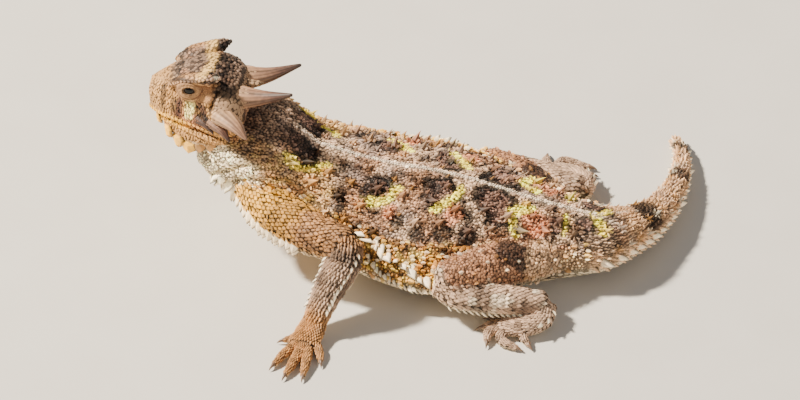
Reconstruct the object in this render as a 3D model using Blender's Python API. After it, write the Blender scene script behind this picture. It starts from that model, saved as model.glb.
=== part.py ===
"""Texas horned lizard, a still model at life size.

Sizes and places are in millimetres, and MM makes them metres when a mesh is built.
The head points to -X and the tail to +X, the animal's left side is -Y, and the floor is z = 0.
"""
import math
import random

import bmesh
import bpy
import numpy as np
from mathutils import Matrix, Vector
from mathutils.bvhtree import BVHTree

MM = 0.001
GAP = 0.3                      # between neighbouring pieces
FLOOR_CENTRE = (-1.0, -3.4)    # middle of the whole animal's plan, moved to the origin
SEED = 7

# Torso sections: x, half width, top, height of the widest line, belly, power above, power below.
# A power of 2 is an oval. Less is more like a tent, more is boxier.
TORSO = [
    (-31, 9.0, 29.6, 22.0, 14.5, 1.9, 2.2),
    (-24, 14.5, 25.4, 15.5, 9.0, 1.6, 2.3),
    (-16, 18.5, 22.9, 11.5, 5.5, 1.5, 2.4),
    (-6, 21.5, 21.4, 9.0, 2.4, 1.4, 2.4),
    (4, 22.6, 20.8, 7.6, 0.6, 1.4, 2.4),
    (12, 20.8, 19.9, 6.8, -0.3, 1.4, 2.4),
    (19, 17.2, 18.3, 6.3, -0.5, 1.5, 2.4),
    (26, 13.2, 16.6, 6.0, -0.4, 1.6, 2.3),
    (32, 10.4, 15.6, 6.2, 0.3, 1.7, 2.2),
    (38, 8.6, 14.6, 6.8, 1.4, 1.8, 2.1),
]

# Tail sections: centre x, y, z, half width, rise, drop, power above, power below.
TAIL = [
    (34.0, -0.8, 7.4, 9.2, 7.8, 6.2, 1.8, 2.1),
    (38.7, 0.8, 6.9, 7.9, 7.2, 5.3, 1.8, 2.1),
    (42.6, 4.6, 6.0, 6.2, 5.6, 4.6, 1.9, 2.1),
    (45.9, 9.0, 5.2, 4.8, 4.4, 4.0, 2.0, 2.1),
    (48.5, 14.3, 4.5, 3.7, 3.5, 3.4, 2.0, 2.1),
    (49.9, 20.0, 3.9, 3.0, 2.9, 2.9, 2.0, 2.0),
    (50.5, 26.2, 3.2, 2.4, 2.4, 2.5, 2.0, 2.0),
    (50.1, 32.8, 2.4, 1.9, 1.9, 2.1, 2.0, 2.0),
    (49.0, 38.0, 1.8, 1.6, 1.6, 1.9, 2.0, 2.0),
    (46.8, 42.2, 1.4, 1.2, 1.3, 1.6, 2.0, 2.0),
]
TAIL_PARTS = (("tail_base", 0.0, 20.0), ("tail_middle", 20.0, 35.0), ("tail_tip", 35.0, None))

# The head has a frame of its own: x runs back from snout to nape, y to its right, z up.
HEAD_AT = (-46.0, -0.8, 33.0)
HEAD_ROLL = math.radians(-10)
HEAD_YAW = math.radians(4)
HEAD = [
    (-9.4, 3.1, 3.5, 0.6, -3.9, 2.2, 2.1),
    (-7.4, 4.8, 4.9, -0.4, -5.2, 2.3, 2.3),
    (-4.2, 6.7, 6.7, -1.0, -7.0, 2.5, 2.4),
    (0.0, 8.0, 7.9, -1.0, -7.8, 2.6, 2.4),
    (4.0, 9.4, 8.5, -0.8, -8.0, 2.5, 2.4),
    (7.4, 10.3, 7.4, -0.6, -7.6, 2.2, 2.3),
    (9.8, 9.2, 5.4, -0.4, -6.6, 2.1, 2.2),
]
JAW = [
    (-7.5, 2.7, -2.0, -4.0, -5.6, 2.2, 2.2),
    (-5.9, 4.4, -2.0, -4.7, -7.5, 2.3, 2.3),
    (-3.4, 6.2, -2.0, -5.2, -10.0, 2.4, 2.4),
    (-0.6, 7.4, -2.0, -5.6, -11.6, 2.4, 2.5),
    (3.0, 8.5, -2.0, -5.6, -10.6, 2.3, 2.5),
    (7.0, 9.2, -2.0, -5.4, -8.6, 2.2, 2.3),
]
MOUTH_LINE = ((-13.0, -3.5), (-9.0, -3.9), (-4.0, -3.5), (1.0, -4.4), (6.0, -5.4), (13.0, -5.2))
EYE_AT = (-0.7, 5.8, 5.0)
EYE_RADIUS = 2.5
LID_THICKNESS = 0.85
EYE_SLIT = (1.4, 0.9)          # half length and half height of the open lids
SLIT_RISE = 0.2                # above the middle of the eyeball
NOSTRIL_AT = (-9.9, 2.4, 1.3)
NOSTRIL_RADIUS = 0.55
EAR_AT = (8.4, 9.3, -3.2)
EAR_RADII = (1.0, 0.7, 1.5)

# The brow ridge over the eye: places and half width, rise and drop. It ends in a short horn.
BROW = (
    ((-5.0, 5.0, 4.7), (0.9, 0.8, 0.8)),
    ((-2.4, 6.3, 6.6), (1.4, 1.0, 1.0)),
    ((1.2, 6.8, 7.4), (2.0, 1.2, 1.2)),
    ((3.4, 7.2, 7.9), (1.8, 1.2, 1.4)),
    ((5.9, 8.1, 8.8), (0.25, 0.25, 0.25)),
)

# A horn: foot, bend, tip, radius at the foot and how flat it is, in the head's frame, for
# the side of +y. The temporal horns are wide plates that narrow to a point.
HORNS = {
    "horn_occipital": ((8.2, 3.9, 2.2), (14.2, 4.9, 3.2), (20.6, 6.4, 5.3), 2.9, 0.95),
    "horn_temporal_rear": ((6.4, 8.6, 0.4), (9.9, 11.9, -0.4), (12.3, 14.1, -1.8), 2.9, 0.66),
    "horn_temporal_middle": ((4.6, 8.4, -1.4), (6.9, 10.6, -2.4), (8.5, 12.0, -3.9), 1.9, 0.75),
    "horn_temporal_front": ((1.6, 7.4, -1.6), (3.4, 9.0, -2.3), (4.8, 9.9, -3.6), 1.4, 0.8),
}
HORN_TAPER = (1.0, 0.56, 0.12)           # of the radius, at the foot, the bend and the tip

# Neck and limb sections, all: centre x, y, z, half width, rise, drop, power above, power below.
NECK = [
    (-43.5, -0.9, 24.2, 8.3, 4.0, 7.2, 2.0, 2.4),
    (-40.0, -0.7, 23.6, 10.2, 7.0, 8.8, 2.0, 2.5),
    (-35.0, -0.3, 22.4, 11.6, 9.0, 10.0, 2.0, 2.5),
    (-30.0, 0.0, 20.4, 13.2, 9.0, 10.4, 1.9, 2.4),
    (-25.0, 0.0, 17.0, 12.6, 8.0, 7.6, 1.8, 2.2),
]
UPPER_ARM_LEFT = [
    (-33.0, -7.0, 17.0, 5.0, 5.0, 5.4, 2.0, 2.0),
    (-28.0, -12.8, 15.6, 5.2, 5.0, 5.6, 2.0, 2.0),
    (-18.5, -18.6, 14.8, 4.8, 4.7, 5.0, 2.0, 2.0),
    (-10.6, -21.4, 14.8, 4.0, 4.1, 4.2, 2.0, 2.0),
]
FOREARM_LEFT = [
    (-9.6, -20.6, 16.0, 3.2, 3.2, 3.2, 2.0, 2.0),
    (-10.2, -24.4, 12.6, 4.0, 3.8, 3.8, 2.0, 2.0),
    (-12.6, -29.2, 7.2, 3.3, 3.2, 3.2, 2.0, 2.0),
    (-14.2, -32.6, 3.4, 2.7, 2.3, 2.4, 2.0, 2.0),
]
HAND_LEFT = [
    (-13.7, -31.0, 4.6, 2.3, 2.0, 2.0, 2.0, 2.0),
    (-14.6, -34.2, 2.4, 3.1, 1.9, 2.2, 2.0, 2.2),
    (-15.4, -38.6, 1.7, 3.4, 1.6, 2.0, 2.0, 2.4),
]
UPPER_ARM_RIGHT = [
    (-32.0, 6.0, 17.0, 5.0, 5.0, 5.0, 2.0, 2.0),
    (-28.5, 12.0, 14.0, 4.9, 4.8, 4.8, 2.0, 2.0),
    (-24.0, 17.0, 10.6, 4.2, 4.2, 4.2, 2.0, 2.0),
    (-20.6, 20.2, 8.2, 3.7, 3.7, 3.7, 2.0, 2.0),
]
FOREARM_RIGHT = [
    (-19.4, 19.4, 8.6, 3.0, 3.0, 3.0, 2.0, 2.0),
    (-22.4, 21.8, 6.6, 3.6, 3.5, 3.4, 2.0, 2.0),
    (-26.4, 24.6, 4.4, 3.0, 3.0, 3.0, 2.0, 2.0),
    (-29.6, 26.8, 2.9, 2.6, 2.3, 2.4, 2.0, 2.0),
]
HAND_RIGHT = [
    (-28.2, 25.8, 3.6, 2.3, 2.0, 2.0, 2.0, 2.0),
    (-30.8, 27.6, 2.2, 3.0, 1.9, 2.1, 2.0, 2.2),
    (-34.4, 29.6, 1.6, 3.3, 1.6, 1.9, 2.0, 2.4),
]
THIGH_LEFT = [
    (33.0, -2.6, 6.6, 5.0, 4.4, 4.6, 2.0, 2.0),
    (27.0, -9.0, 8.0, 5.2, 4.7, 5.0, 2.0, 2.0),
    (19.0, -16.0, 9.4, 5.2, 5.0, 5.2, 2.0, 2.0),
    (11.4, -21.2, 9.4, 4.4, 4.3, 4.6, 2.0, 2.0),
]
THIGH_RIGHT = [
    (33.0, 2.6, 6.4, 5.0, 4.4, 4.6, 2.0, 2.0),
    (27.0, 8.8, 7.2, 5.2, 4.7, 5.0, 2.0, 2.0),
    (19.3, 14.9, 7.8, 5.2, 4.9, 5.0, 2.0, 2.0),
    (11.9, 19.4, 6.7, 4.4, 4.3, 4.4, 2.0, 2.0),
]
SHANK_LEFT = [
    (9.6, -21.4, 8.4, 3.2, 3.2, 3.2, 2.0, 2.0),
    (14.0, -22.6, 7.2, 3.7, 3.6, 3.6, 2.0, 2.0),
    (23.0, -21.2, 6.0, 3.5, 3.4, 3.4, 2.0, 2.0),
    (30.6, -19.0, 4.4, 3.0, 2.9, 2.9, 2.0, 2.0),
]
SHANK_RIGHT = [
    (10.4, 20.6, 5.4, 3.0, 3.0, 3.0, 2.0, 2.0),
    (14.4, 22.2, 4.4, 3.5, 3.4, 3.4, 2.0, 2.0),
    (23.0, 21.8, 4.1, 3.4, 3.3, 3.3, 2.0, 2.0),
    (30.2, 20.6, 3.5, 2.9, 2.8, 2.8, 2.0, 2.0),
]
FOOT_LEFT = [
    (31.4, -18.4, 3.8, 2.6, 2.4, 2.6, 2.0, 2.2),
    (31.2, -21.6, 2.8, 2.9, 2.3, 2.8, 2.0, 2.3),
    (28.0, -24.0, 2.3, 2.9, 2.0, 2.5, 2.0, 2.4),
    (23.8, -24.6, 1.9, 2.6, 1.7, 2.1, 2.0, 2.4),
]
FOOT_RIGHT = [
    (31.2, 20.0, 3.2, 2.6, 2.3, 2.6, 2.0, 2.2),
    (31.0, 23.2, 2.6, 2.9, 2.2, 2.7, 2.0, 2.3),
    (27.8, 25.6, 2.2, 2.9, 1.9, 2.4, 2.0, 2.4),
    (24.0, 26.2, 1.9, 2.6, 1.7, 2.1, 2.0, 2.4),
]

# A digit: root, bend and tip of its centre line, radius at the root.
FINGERS_LEFT = [
    ((-16.0, -35.6, 1.9), (-17.8, -37.0, 1.4), (-19.6, -37.6, 1.0), 1.15),
    ((-16.2, -38.0, 1.6), (-18.6, -41.8, 1.2), (-20.2, -45.4, 0.8), 1.2),
    ((-15.4, -38.8, 1.6), (-16.2, -43.8, 1.2), (-17.2, -48.0, 0.8), 1.25),
    ((-14.4, -38.8, 1.6), (-13.8, -43.4, 1.2), (-13.6, -47.6, 0.8), 1.2),
    ((-13.4, -37.4, 1.6), (-11.8, -40.0, 1.2), (-11.0, -42.4, 0.8), 1.1),
]
FINGERS_RIGHT = [
    ((-32.4, 26.8, 1.7), (-35.0, 26.0, 1.3), (-36.8, 25.2, 0.9), 1.1),
    ((-34.6, 28.6, 1.6), (-37.8, 28.4, 1.2), (-40.8, 28.4, 0.8), 1.2),
    ((-34.8, 29.6, 1.6), (-38.4, 30.8, 1.2), (-42.0, 31.6, 0.8), 1.25),
    ((-34.4, 30.4, 1.6), (-37.2, 32.6, 1.2), (-39.8, 34.2, 0.8), 1.2),
    ((-33.2, 30.6, 1.6), (-34.0, 33.0, 1.2), (-35.0, 34.8, 0.8), 1.1),
]
TOES_LEFT = [
    ((25.6, -23.4, 1.5), (23.0, -22.0, 1.2), (20.6, -21.8, 0.8), 1.0),
    ((24.4, -24.0, 1.6), (21.4, -24.0, 1.2), (19.6, -24.8, 0.8), 1.1),
    ((23.8, -24.8, 1.6), (21.2, -26.8, 1.3), (21.4, -29.2, 0.9), 1.2),
    ((24.4, -25.6, 1.6), (24.2, -28.6, 1.3), (27.6, -29.8, 0.9), 1.25),
    ((28.4, -25.0, 1.7), (28.6, -26.8, 1.3), (30.0, -28.4, 0.9), 1.1),
]
TOES_RIGHT = [
    ((25.6, 25.6, 1.5), (23.0, 25.6, 1.2), (20.6, 25.9, 0.8), 1.0),
    ((24.4, 26.4, 1.6), (21.4, 27.4, 1.2), (19.2, 28.4, 0.8), 1.1),
    ((24.0, 27.0, 1.6), (21.8, 29.4, 1.3), (21.6, 31.8, 0.9), 1.2),
    ((24.4, 27.2, 1.7), (25.4, 30.4, 1.5), (31.0, 30.2, 1.0), 1.25),
    ((28.4, 26.6, 1.7), (29.4, 27.8, 1.3), (31.8, 28.0, 0.9), 1.1),
]

# How far each spine, scale or claw is sunk in what carries it.
SUNK = 0.8


def smooth_rows(rows, knots, s):
    """Read a table of rows at the length s along it, with a smooth curve through every row."""
    s = min(max(s, knots[0]), knots[-1])
    i = min(max(int(np.searchsorted(knots, s)) - 1, 0), len(knots) - 2)

    def slope(k):
        before, after = max(k - 1, 0), min(k + 1, len(knots) - 1)
        return (rows[after] - rows[before]) / (knots[after] - knots[before])

    width = knots[i + 1] - knots[i]
    t = (s - knots[i]) / width
    return ((2 * t**3 - 3 * t**2 + 1) * rows[i] + (t**3 - 2 * t**2 + t) * width * slope(i)
            + (3 * t**2 - 2 * t**3) * rows[i + 1] + (t**3 - t**2) * width * slope(i + 1))


def unit(vector):
    return vector / max(np.linalg.norm(vector), 1e-9)


class Form:
    """A body form lofted through oval sections, whose surface can be asked for points."""

    def __init__(self, rows, facing=None, place=None):
        self.rows = np.array(rows, float)
        self.facing = None if facing is None else np.array(facing, float)
        self.place = np.array(place if place else Matrix.Identity(4))
        steps = np.linalg.norm(np.diff(self.rows[:, :3], axis=0), axis=1)
        self.knots = np.concatenate(([0.0], np.cumsum(steps)))
        self.length = self.knots[-1]

    def at_x(self, x):
        """The length along the form at which its centre line passes x."""
        return float(np.interp(x, self.rows[:, 0], self.knots))

    def frame(self, s):
        """Centre, directions along, to the side and up, and the section's sizes at the length s."""
        row = smooth_rows(self.rows, self.knots, s)
        along = self.facing
        if along is None:
            step = 0.05 * self.length
            ahead = smooth_rows(self.rows, self.knots, s + step)[:3]
            behind = smooth_rows(self.rows, self.knots, s - step)[:3]
            along = unit(ahead - behind)
        side = unit(np.cross((0.0, 0.0, 1.0), along))
        return row[:3], along, side, np.cross(along, side), row[3:]

    def point(self, s, angle, grow=0.0, shrink=1.0, push=0.0):
        """A surface point: angle 0 is the section's right, a quarter turn is its top."""
        centre, along, side, lift, (wide, up, down, power_up, power_down) = self.frame(s)
        across, rise = math.cos(angle), math.sin(angle)
        power = 2 / (power_up if rise > 0 else power_down)
        high = up if rise > 0 else down
        y = (wide + grow) * shrink * math.copysign(abs(across) ** power, across)
        z = (high + grow) * shrink * math.copysign(abs(rise) ** power, rise)
        return self.to_world(centre + along * push + side * y + lift * z)

    def to_world(self, point):
        return self.place[:3, :3] @ point + self.place[:3, 3]

    def normal(self, s, angle):
        """The direction straight out of the surface."""
        step, turn = 0.4, 0.06
        along = self.point(s + step, angle) - self.point(s - step, angle)
        around = self.point(s, angle + turn) - self.point(s, angle - turn)
        return unit(np.cross(around, along))

    def backward(self, s, angle):
        """The direction along the surface towards the form's end."""
        return unit(self.point(s + 0.4, angle) - self.point(s - 0.4, angle))

    def solid(self, name, rings, sides, grow=0.0, start=None, end=None, domes=(0.0, 0.0),
              steps=3):
        """A closed mesh of the form. A dome rounds an end over its own length."""
        start = 0.0 if start is None else start
        end = self.length if end is None else end
        loops = [(s, 1.0, 0.0) for s in np.linspace(start, end, rings)]
        first, last = [], []
        for j in range(1, steps):
            turn = 0.5 * math.pi * j / steps
            first.insert(0, (start, math.cos(turn), -(domes[0] + grow) * math.sin(turn)))
            last.append((end, math.cos(turn), (domes[1] + grow) * math.sin(turn)))
        if domes[0]:
            loops = first + loops
        else:
            loops[0] = (start, 1.0, -grow)
        if domes[1]:
            loops = loops + last
        else:
            loops[-1] = (end, 1.0, grow)
        points = [self.point(s, 2 * math.pi * k / sides, grow, shrink, push)
                  for s, shrink, push in loops for k in range(sides)]
        faces = [(r * sides + k, r * sides + (k + 1) % sides,
                  (r + 1) * sides + (k + 1) % sides, (r + 1) * sides + k)
                 for r in range(len(loops) - 1) for k in range(sides)]
        for dome, s, sign, ring in ((domes[0], start, -1, 0), (domes[1], end, 1, len(loops) - 1)):
            rim = [ring * sides + k for k in range(sides)]
            if dome:
                pole = len(points)
                centre, along, _, _, _ = self.frame(s)
                points.append(self.to_world(centre + along * sign * (dome + grow)))
                faces += [(rim[k], rim[(k + 1) % sides], pole) for k in range(sides)]
            else:
                faces.append(tuple(rim))
        return mesh_object(name, points, faces)


def mesh_object(name, points, faces):
    """A linked object from points in millimetres, with all faces turned outwards."""
    mesh = bpy.data.meshes.new(name)
    mesh.from_pydata([tuple(p * MM) for p in np.array(points)], [], faces)
    shape = bmesh.new()
    shape.from_mesh(mesh)
    bmesh.ops.recalc_face_normals(shape, faces=shape.faces)
    shape.to_mesh(mesh)
    shape.free()
    piece = bpy.data.objects.new(name, mesh)
    bpy.context.scene.collection.objects.link(piece)
    return piece


def primitive(name, build):
    """A linked object from one bmesh primitive, placed by its matrix."""
    shape = bmesh.new()
    build(shape)
    bmesh.ops.recalc_face_normals(shape, faces=shape.faces)
    mesh = bpy.data.meshes.new(name)
    shape.to_mesh(mesh)
    shape.free()
    piece = bpy.data.objects.new(name, mesh)
    bpy.context.scene.collection.objects.link(piece)
    return piece


def ball(name, centre, radii, turn=None, segments=16, rings=10):
    """An ellipsoid with its half axes along the turned frame."""
    scale = Matrix.Diagonal((*[r * MM for r in radii], 1))
    place = Matrix.Translation(Vector(centre) * MM) @ (turn or Matrix.Identity(4)) @ scale
    return primitive(name, lambda shape: bmesh.ops.create_uvsphere(
        shape, u_segments=segments, v_segments=rings, radius=1, matrix=place))


def spine(at, out, lean, height, width, flat=1.0, tilt=0.0, sides=5, sunk=SUNK):
    """A pointed cone standing on a surface, tilted from out towards lean and sunk at its foot."""
    out, lean = Vector(out).normalized(), Vector(lean).normalized()
    axis = (out * math.cos(tilt) + lean * math.sin(tilt)).normalized()
    across = axis.cross(lean).normalized()
    thick = across.cross(axis)
    depth = height + sunk
    middle = Vector(at) + axis * (depth / 2 - sunk)
    frame = Matrix((across * MM, thick * flat * MM, axis * MM)).transposed().to_4x4()
    place = Matrix.Translation(middle * MM) @ frame
    foot = width * depth / height
    return primitive("spine", lambda shape: bmesh.ops.create_cone(
        shape, cap_ends=True, segments=sides, radius1=foot, radius2=0, depth=depth, matrix=place))


def bake(piece):
    """Replace the mesh by its evaluated one and drop the modifiers."""
    evaluated = piece.evaluated_get(bpy.context.evaluated_depsgraph_get())
    mesh = bpy.data.meshes.new_from_object(evaluated)
    piece.modifiers.clear()
    piece.data = mesh


def keep_largest(piece):
    """Keep only the largest closed surface of a mesh."""
    shape = bmesh.new()
    shape.from_mesh(piece.data)
    left, groups = set(shape.faces), []
    while left:
        group, edge = [], [left.pop()]
        while edge:
            face = edge.pop()
            group.append(face)
            for other in {f for link in face.edges for f in link.link_faces} & left:
                left.discard(other)
                edge.append(other)
        groups.append(group)
    groups.sort(key=lambda group: -spread(group))
    bmesh.ops.delete(shape, geom=[face for group in groups[1:] for face in group],
                     context="FACES")
    bmesh.ops.recalc_face_normals(shape, faces=shape.faces)
    shape.to_mesh(piece.data)
    shape.free()


def spread(faces):
    """The diagonal of a set of faces' box."""
    places = np.array([v.co for face in faces for v in face.verts])
    return float(np.linalg.norm(places.max(0) - places.min(0)))


def subtract(piece, cutters):
    """Cut a piece by cutters that are removed afterwards."""
    for cutter in cutters:
        move_to(cutter, "cutters")
        cutter.hide_render = True
        cutter.display_type = "WIRE"
        modifier = piece.modifiers.new("cut", "BOOLEAN")
        modifier.operation = "DIFFERENCE"
        modifier.object = cutter
        modifier.solver = "EXACT"
    bake(piece)
    remove(cutters)
    keep_largest(piece)


def unite(piece, extras):
    """Join many closed meshes to a piece with one Boolean on their collection."""
    if not extras:
        return
    group = bpy.data.collections.new("joined")
    bpy.context.scene.collection.children.link(group)
    for extra in extras:
        bpy.context.scene.collection.objects.unlink(extra)
        group.objects.link(extra)
    modifier = piece.modifiers.new("join", "BOOLEAN")
    modifier.operation = "UNION"
    modifier.operand_type = "COLLECTION"
    modifier.collection = group
    modifier.solver = "EXACT"
    bake(piece)
    remove(extras)
    bpy.data.collections.remove(group)
    keep_largest(piece)


def remove(pieces):
    for piece in list(pieces):
        bpy.data.objects.remove(piece, do_unlink=True)


def move_to(piece, group_name):
    group = bpy.data.collections.get(group_name)
    if group is None:
        group = bpy.data.collections.new(group_name)
        bpy.context.scene.collection.children.link(group)
    for owner in list(piece.users_collection):
        owner.objects.unlink(piece)
    group.objects.link(piece)


def floor_cutter():
    """A block whose top is the floor."""
    size = 200 * MM
    place = Matrix.Translation((0, 0, -size / 2)) @ Matrix.Diagonal((size, size, size, 1))
    return primitive("floor", lambda shape: bmesh.ops.create_cube(shape, size=1, matrix=place))


def material(name, shade, roughness):
    """A plain skin or horn material from an sRGB hex value."""
    finish = bpy.data.materials.new(name)
    finish.use_nodes = True
    levels = [int(shade[i:i + 2], 16) / 255 for i in (0, 2, 4)]
    linear = [v / 12.92 if v <= 0.04045 else ((v + 0.055) / 1.055) ** 2.4 for v in levels]
    shader = finish.node_tree.nodes["Principled BSDF"]
    shader.inputs["Base Color"].default_value = (*linear, 1)
    shader.inputs["Roughness"].default_value = roughness
    shader.inputs["Metallic"].default_value = 0.0
    return finish


def from_profile(rows):
    """Section rows (x, half width, top, widest, bottom, powers) as loft rows on the mid plane."""
    return [(x, 0, edge, wide, top - edge, edge - low, power_up, power_down)
            for x, wide, top, edge, low, power_up, power_down in rows]


def head_matrix():
    turn = Matrix.Rotation(HEAD_YAW, 4, "Z") @ Matrix.Rotation(HEAD_ROLL, 4, "X")
    return Matrix.Translation(HEAD_AT) @ turn


HEAD_PLACE = head_matrix()
HEAD_TURN = HEAD_PLACE.to_3x3().to_4x4()


def in_head(point):
    """A place in the head's frame, as the body sees it."""
    return np.array(HEAD_PLACE @ Vector(point))


def sided(point, side):
    """A place given for the right side, on the side of -1 (left) or 1 (right)."""
    return (point[0], point[1] * side, point[2])


def mouth_block(name, above):
    """A block under or over the line of the mouth, GAP / 2 away from it."""
    reach = 30
    offset = -GAP / 2 if above else GAP / 2
    far = reach if above else -reach
    rim = [(x, z + offset) for x, z in MOUTH_LINE]
    profile = rim + [(rim[-1][0], far), (rim[0][0], far)]
    count = len(profile)
    points = [in_head((x, y, z)) for y in (-reach, reach) for x, z in profile]
    faces = [tuple(range(count)), tuple(range(2 * count - 1, count - 1, -1))]
    faces += [(k, (k + 1) % count, count + (k + 1) % count, count + k) for k in range(count)]
    return mesh_object(name, points, faces)


def make_forms():
    """Every lofted form, with its mesh settings: rings, sides and the domes at its two ends."""
    torso = Form(from_profile(TORSO), facing=(1, 0, 0))
    forms = {
        "torso": (torso, 19, 24, (5.0, 0.0)),
        "head": (Form(from_profile(HEAD), (1, 0, 0), HEAD_PLACE), 11, 20, (0.9, 1.3)),
        "jaw": (Form(from_profile(JAW), (1, 0, 0), HEAD_PLACE), 8, 18, (0.8, 1.2)),
        "neck": (Form(NECK), 9, 22, (3.0, 0.0)),
        "upper_arm_left": (Form(UPPER_ARM_LEFT), 8, 14, (0.0, 3.0)),
        "forearm_left": (Form(FOREARM_LEFT), 7, 12, (0.0, 1.2)),
        "hand_left": (Form(HAND_LEFT), 5, 12, (0.0, 1.6)),
        "upper_arm_right": (Form(UPPER_ARM_RIGHT), 8, 14, (0.0, 3.0)),
        "forearm_right": (Form(FOREARM_RIGHT), 7, 12, (0.0, 1.2)),
        "hand_right": (Form(HAND_RIGHT), 5, 12, (0.0, 1.6)),
        "thigh_left": (Form(THIGH_LEFT), 8, 14, (0.0, 3.2)),
        "shank_left": (Form(SHANK_LEFT), 8, 12, (0.0, 1.8)),
        "foot_left": (Form(FOOT_LEFT), 7, 12, (0.0, 1.6)),
        "thigh_right": (Form(THIGH_RIGHT), 8, 14, (0.0, 3.2)),
        "shank_right": (Form(SHANK_RIGHT), 8, 12, (0.0, 1.8)),
        "foot_right": (Form(FOOT_RIGHT), 7, 12, (0.0, 1.6)),
    }
    tail = Form(TAIL)
    for name, start, end in TAIL_PARTS:
        forms[name] = (tail, 9, 16, (0.0, 0.8 if end is None else 0.0), start, end)
    return forms


FORMS = make_forms()

# Each piece is cut clear of the ones it grows from or lies against.
GROWS_FROM = {
    "neck": ("head", "jaw", "torso"),
    "upper_arm_left": ("torso", "neck"),
    "upper_arm_right": ("torso", "neck"),
    "forearm_left": ("upper_arm_left", "torso"),
    "forearm_right": ("upper_arm_right", "torso"),
    "hand_left": ("forearm_left",),
    "hand_right": ("forearm_right",),
    "thigh_left": ("torso",),
    "thigh_right": ("torso",),
    "shank_left": ("thigh_left", "torso"),
    "shank_right": ("thigh_right", "torso"),
    "foot_left": ("shank_left", "thigh_left"),
    "foot_right": ("shank_right", "thigh_right"),
    "tail_base": ("torso",),
}
ORDER = ("torso", "head", "jaw", "neck", "upper_arm_left", "upper_arm_right", "forearm_left",
         "forearm_right", "thigh_left", "thigh_right", "shank_left", "shank_right",
         "hand_left", "hand_right", "foot_left", "foot_right", "tail_base", "tail_middle",
         "tail_tip")


def form_solid(name, label=None, grow=0.0):
    form, rings, sides, domes, *span = FORMS[name]
    start, end = span if span else (None, None)
    if span and start and not grow:
        start += GAP
    return form.solid(label or name, rings, sides, grow, start, end, domes)


def make_bodies():
    """All lofted pieces, each cut to meet its neighbours face to face."""
    made = {}
    for name in ORDER:
        piece = form_solid(name)
        parents = GROWS_FROM.get(name, ())
        if name == "head":
            subtract(piece, [mouth_block("under_mouth", above=False)])
        elif name == "jaw":
            subtract(piece, [mouth_block("over_mouth", above=True)])
        elif parents:
            subtract(piece, [form_solid(parent, "clearance", GAP) for parent in parents])
        made[name] = piece
    return made


def digit(root, bend, tip, radius):
    """One finger or toe: a small tapered loft that is fused to its hand or foot."""
    rows = [(*root, radius, radius, radius, 2, 2),
            (*bend, radius * 0.92, radius * 0.92, radius * 0.92, 2, 2),
            (*tip, radius * 0.6, radius * 0.6, radius * 0.6, 2, 2)]
    return Form(rows).solid("digit", 4, 6, domes=(0.0, 0.5), steps=2)


def claw(root, tip, radius):
    """The claw that ends a digit, along the digit's last stretch."""
    way = Vector(tip) - Vector(root)
    way.z = min(way.z, -0.1)
    return spine(Vector(tip), way, Vector((0, 0, 1)), height=1.9, width=radius * 0.42, sides=4)


def add_digits(piece, digits):
    parts = []
    for root, bend, tip, radius in digits:
        parts.append(digit(root, bend, tip, radius))
        parts.append(claw(bend, tip, radius))
    unite(piece, parts)


def make_head_details(head):
    """Brow ridges, eyelids round an open slit, nostrils, ears and the small middle horn."""
    brows = []
    for side in (-1, 1):
        rows = [(*sided(place, side), *size, 2, 2) for place, size in BROW]
        brows.append(Form(rows, place=HEAD_PLACE).solid("brow", 9, 8, domes=(0.5, 0.2)))
        centre = in_head(sided(EYE_AT, side))
        radius = EYE_RADIUS + LID_THICKNESS
        brows.append(ball("lids", centre, (radius * 1.06, radius, radius * 0.94), HEAD_TURN,
                          14, 8))
    brows.append(spine(in_head((10.6, 0, 3.4)), HEAD_TURN @ Vector((1, 0, 0.1)),
                       (0, 0, 1), height=3.6, width=1.1, sides=6))
    unite(head, brows)
    cutters = []
    for side in (-1, 1):
        centre = sided(EYE_AT, side)
        cutters.append(ball("socket", in_head(centre), [EYE_RADIUS + GAP] * 3, HEAD_TURN, 14, 8))
        slit = sided((centre[0], EYE_AT[1] + EYE_RADIUS + 0.6, centre[2] + SLIT_RISE), side)
        radii = (EYE_SLIT[0], 2.2, EYE_SLIT[1])
        cutters.append(ball("slit", in_head(slit), radii, HEAD_TURN, 12, 6))
        nostril = [NOSTRIL_RADIUS * stretch for stretch in (1.6, 1.0, 0.8)]
        cutters.append(ball("nostril", in_head(sided(NOSTRIL_AT, side)), nostril, HEAD_TURN, 8, 6))
        cutters.append(ball("ear", in_head(sided(EAR_AT, side)), EAR_RADII, HEAD_TURN, 8, 4))
    subtract(head, cutters)


def make_eyes():
    eyes = {}
    for side, label in ((-1, "left"), (1, "right")):
        name = "eye_" + label
        centre = in_head(sided(EYE_AT, side))
        eyes[name] = ball(name, centre, [EYE_RADIUS] * 3, HEAD_TURN, 14, 8)
    return eyes


def make_horns():
    """Two long horns at the back of the head and three shorter ones on each temple.

    Each is cut clear of the head and of the horn behind it.
    """
    horns, behind = {}, {}
    for horn, (foot, bend, tip, radius, flat) in HORNS.items():
        for side, label in ((-1, "left"), (1, "right")):
            rows = [(*sided(place, side), radius * part, radius * part * flat,
                     radius * part * flat, 2, 2)
                    for place, part in zip((foot, bend, tip), HORN_TAPER)]
            name = f"{horn}_{label}"
            form = Form(rows, place=HEAD_PLACE)
            cutters = [form_solid("head", "clearance", GAP)]
            if side in behind:
                cutters.append(behind[side].solid("clearance", 7, 9, GAP))
            piece = form.solid(name, 7, 9, domes=(0.0, 0.3))
            subtract(piece, cutters)
            horns[name], behind[side] = piece, form
    return horns


def inside(tree, spot):
    """True if a ray from the spot leaves the closed surface an odd number of times."""
    way, hits = Vector((0.21, 0.34, 0.92)).normalized(), 0
    while True:
        place = tree.ray_cast(spot, way)[0]
        if place is None:
            return hits % 2 == 1
        hits += 1
        spot = place + way * 0.001 * MM


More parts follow.
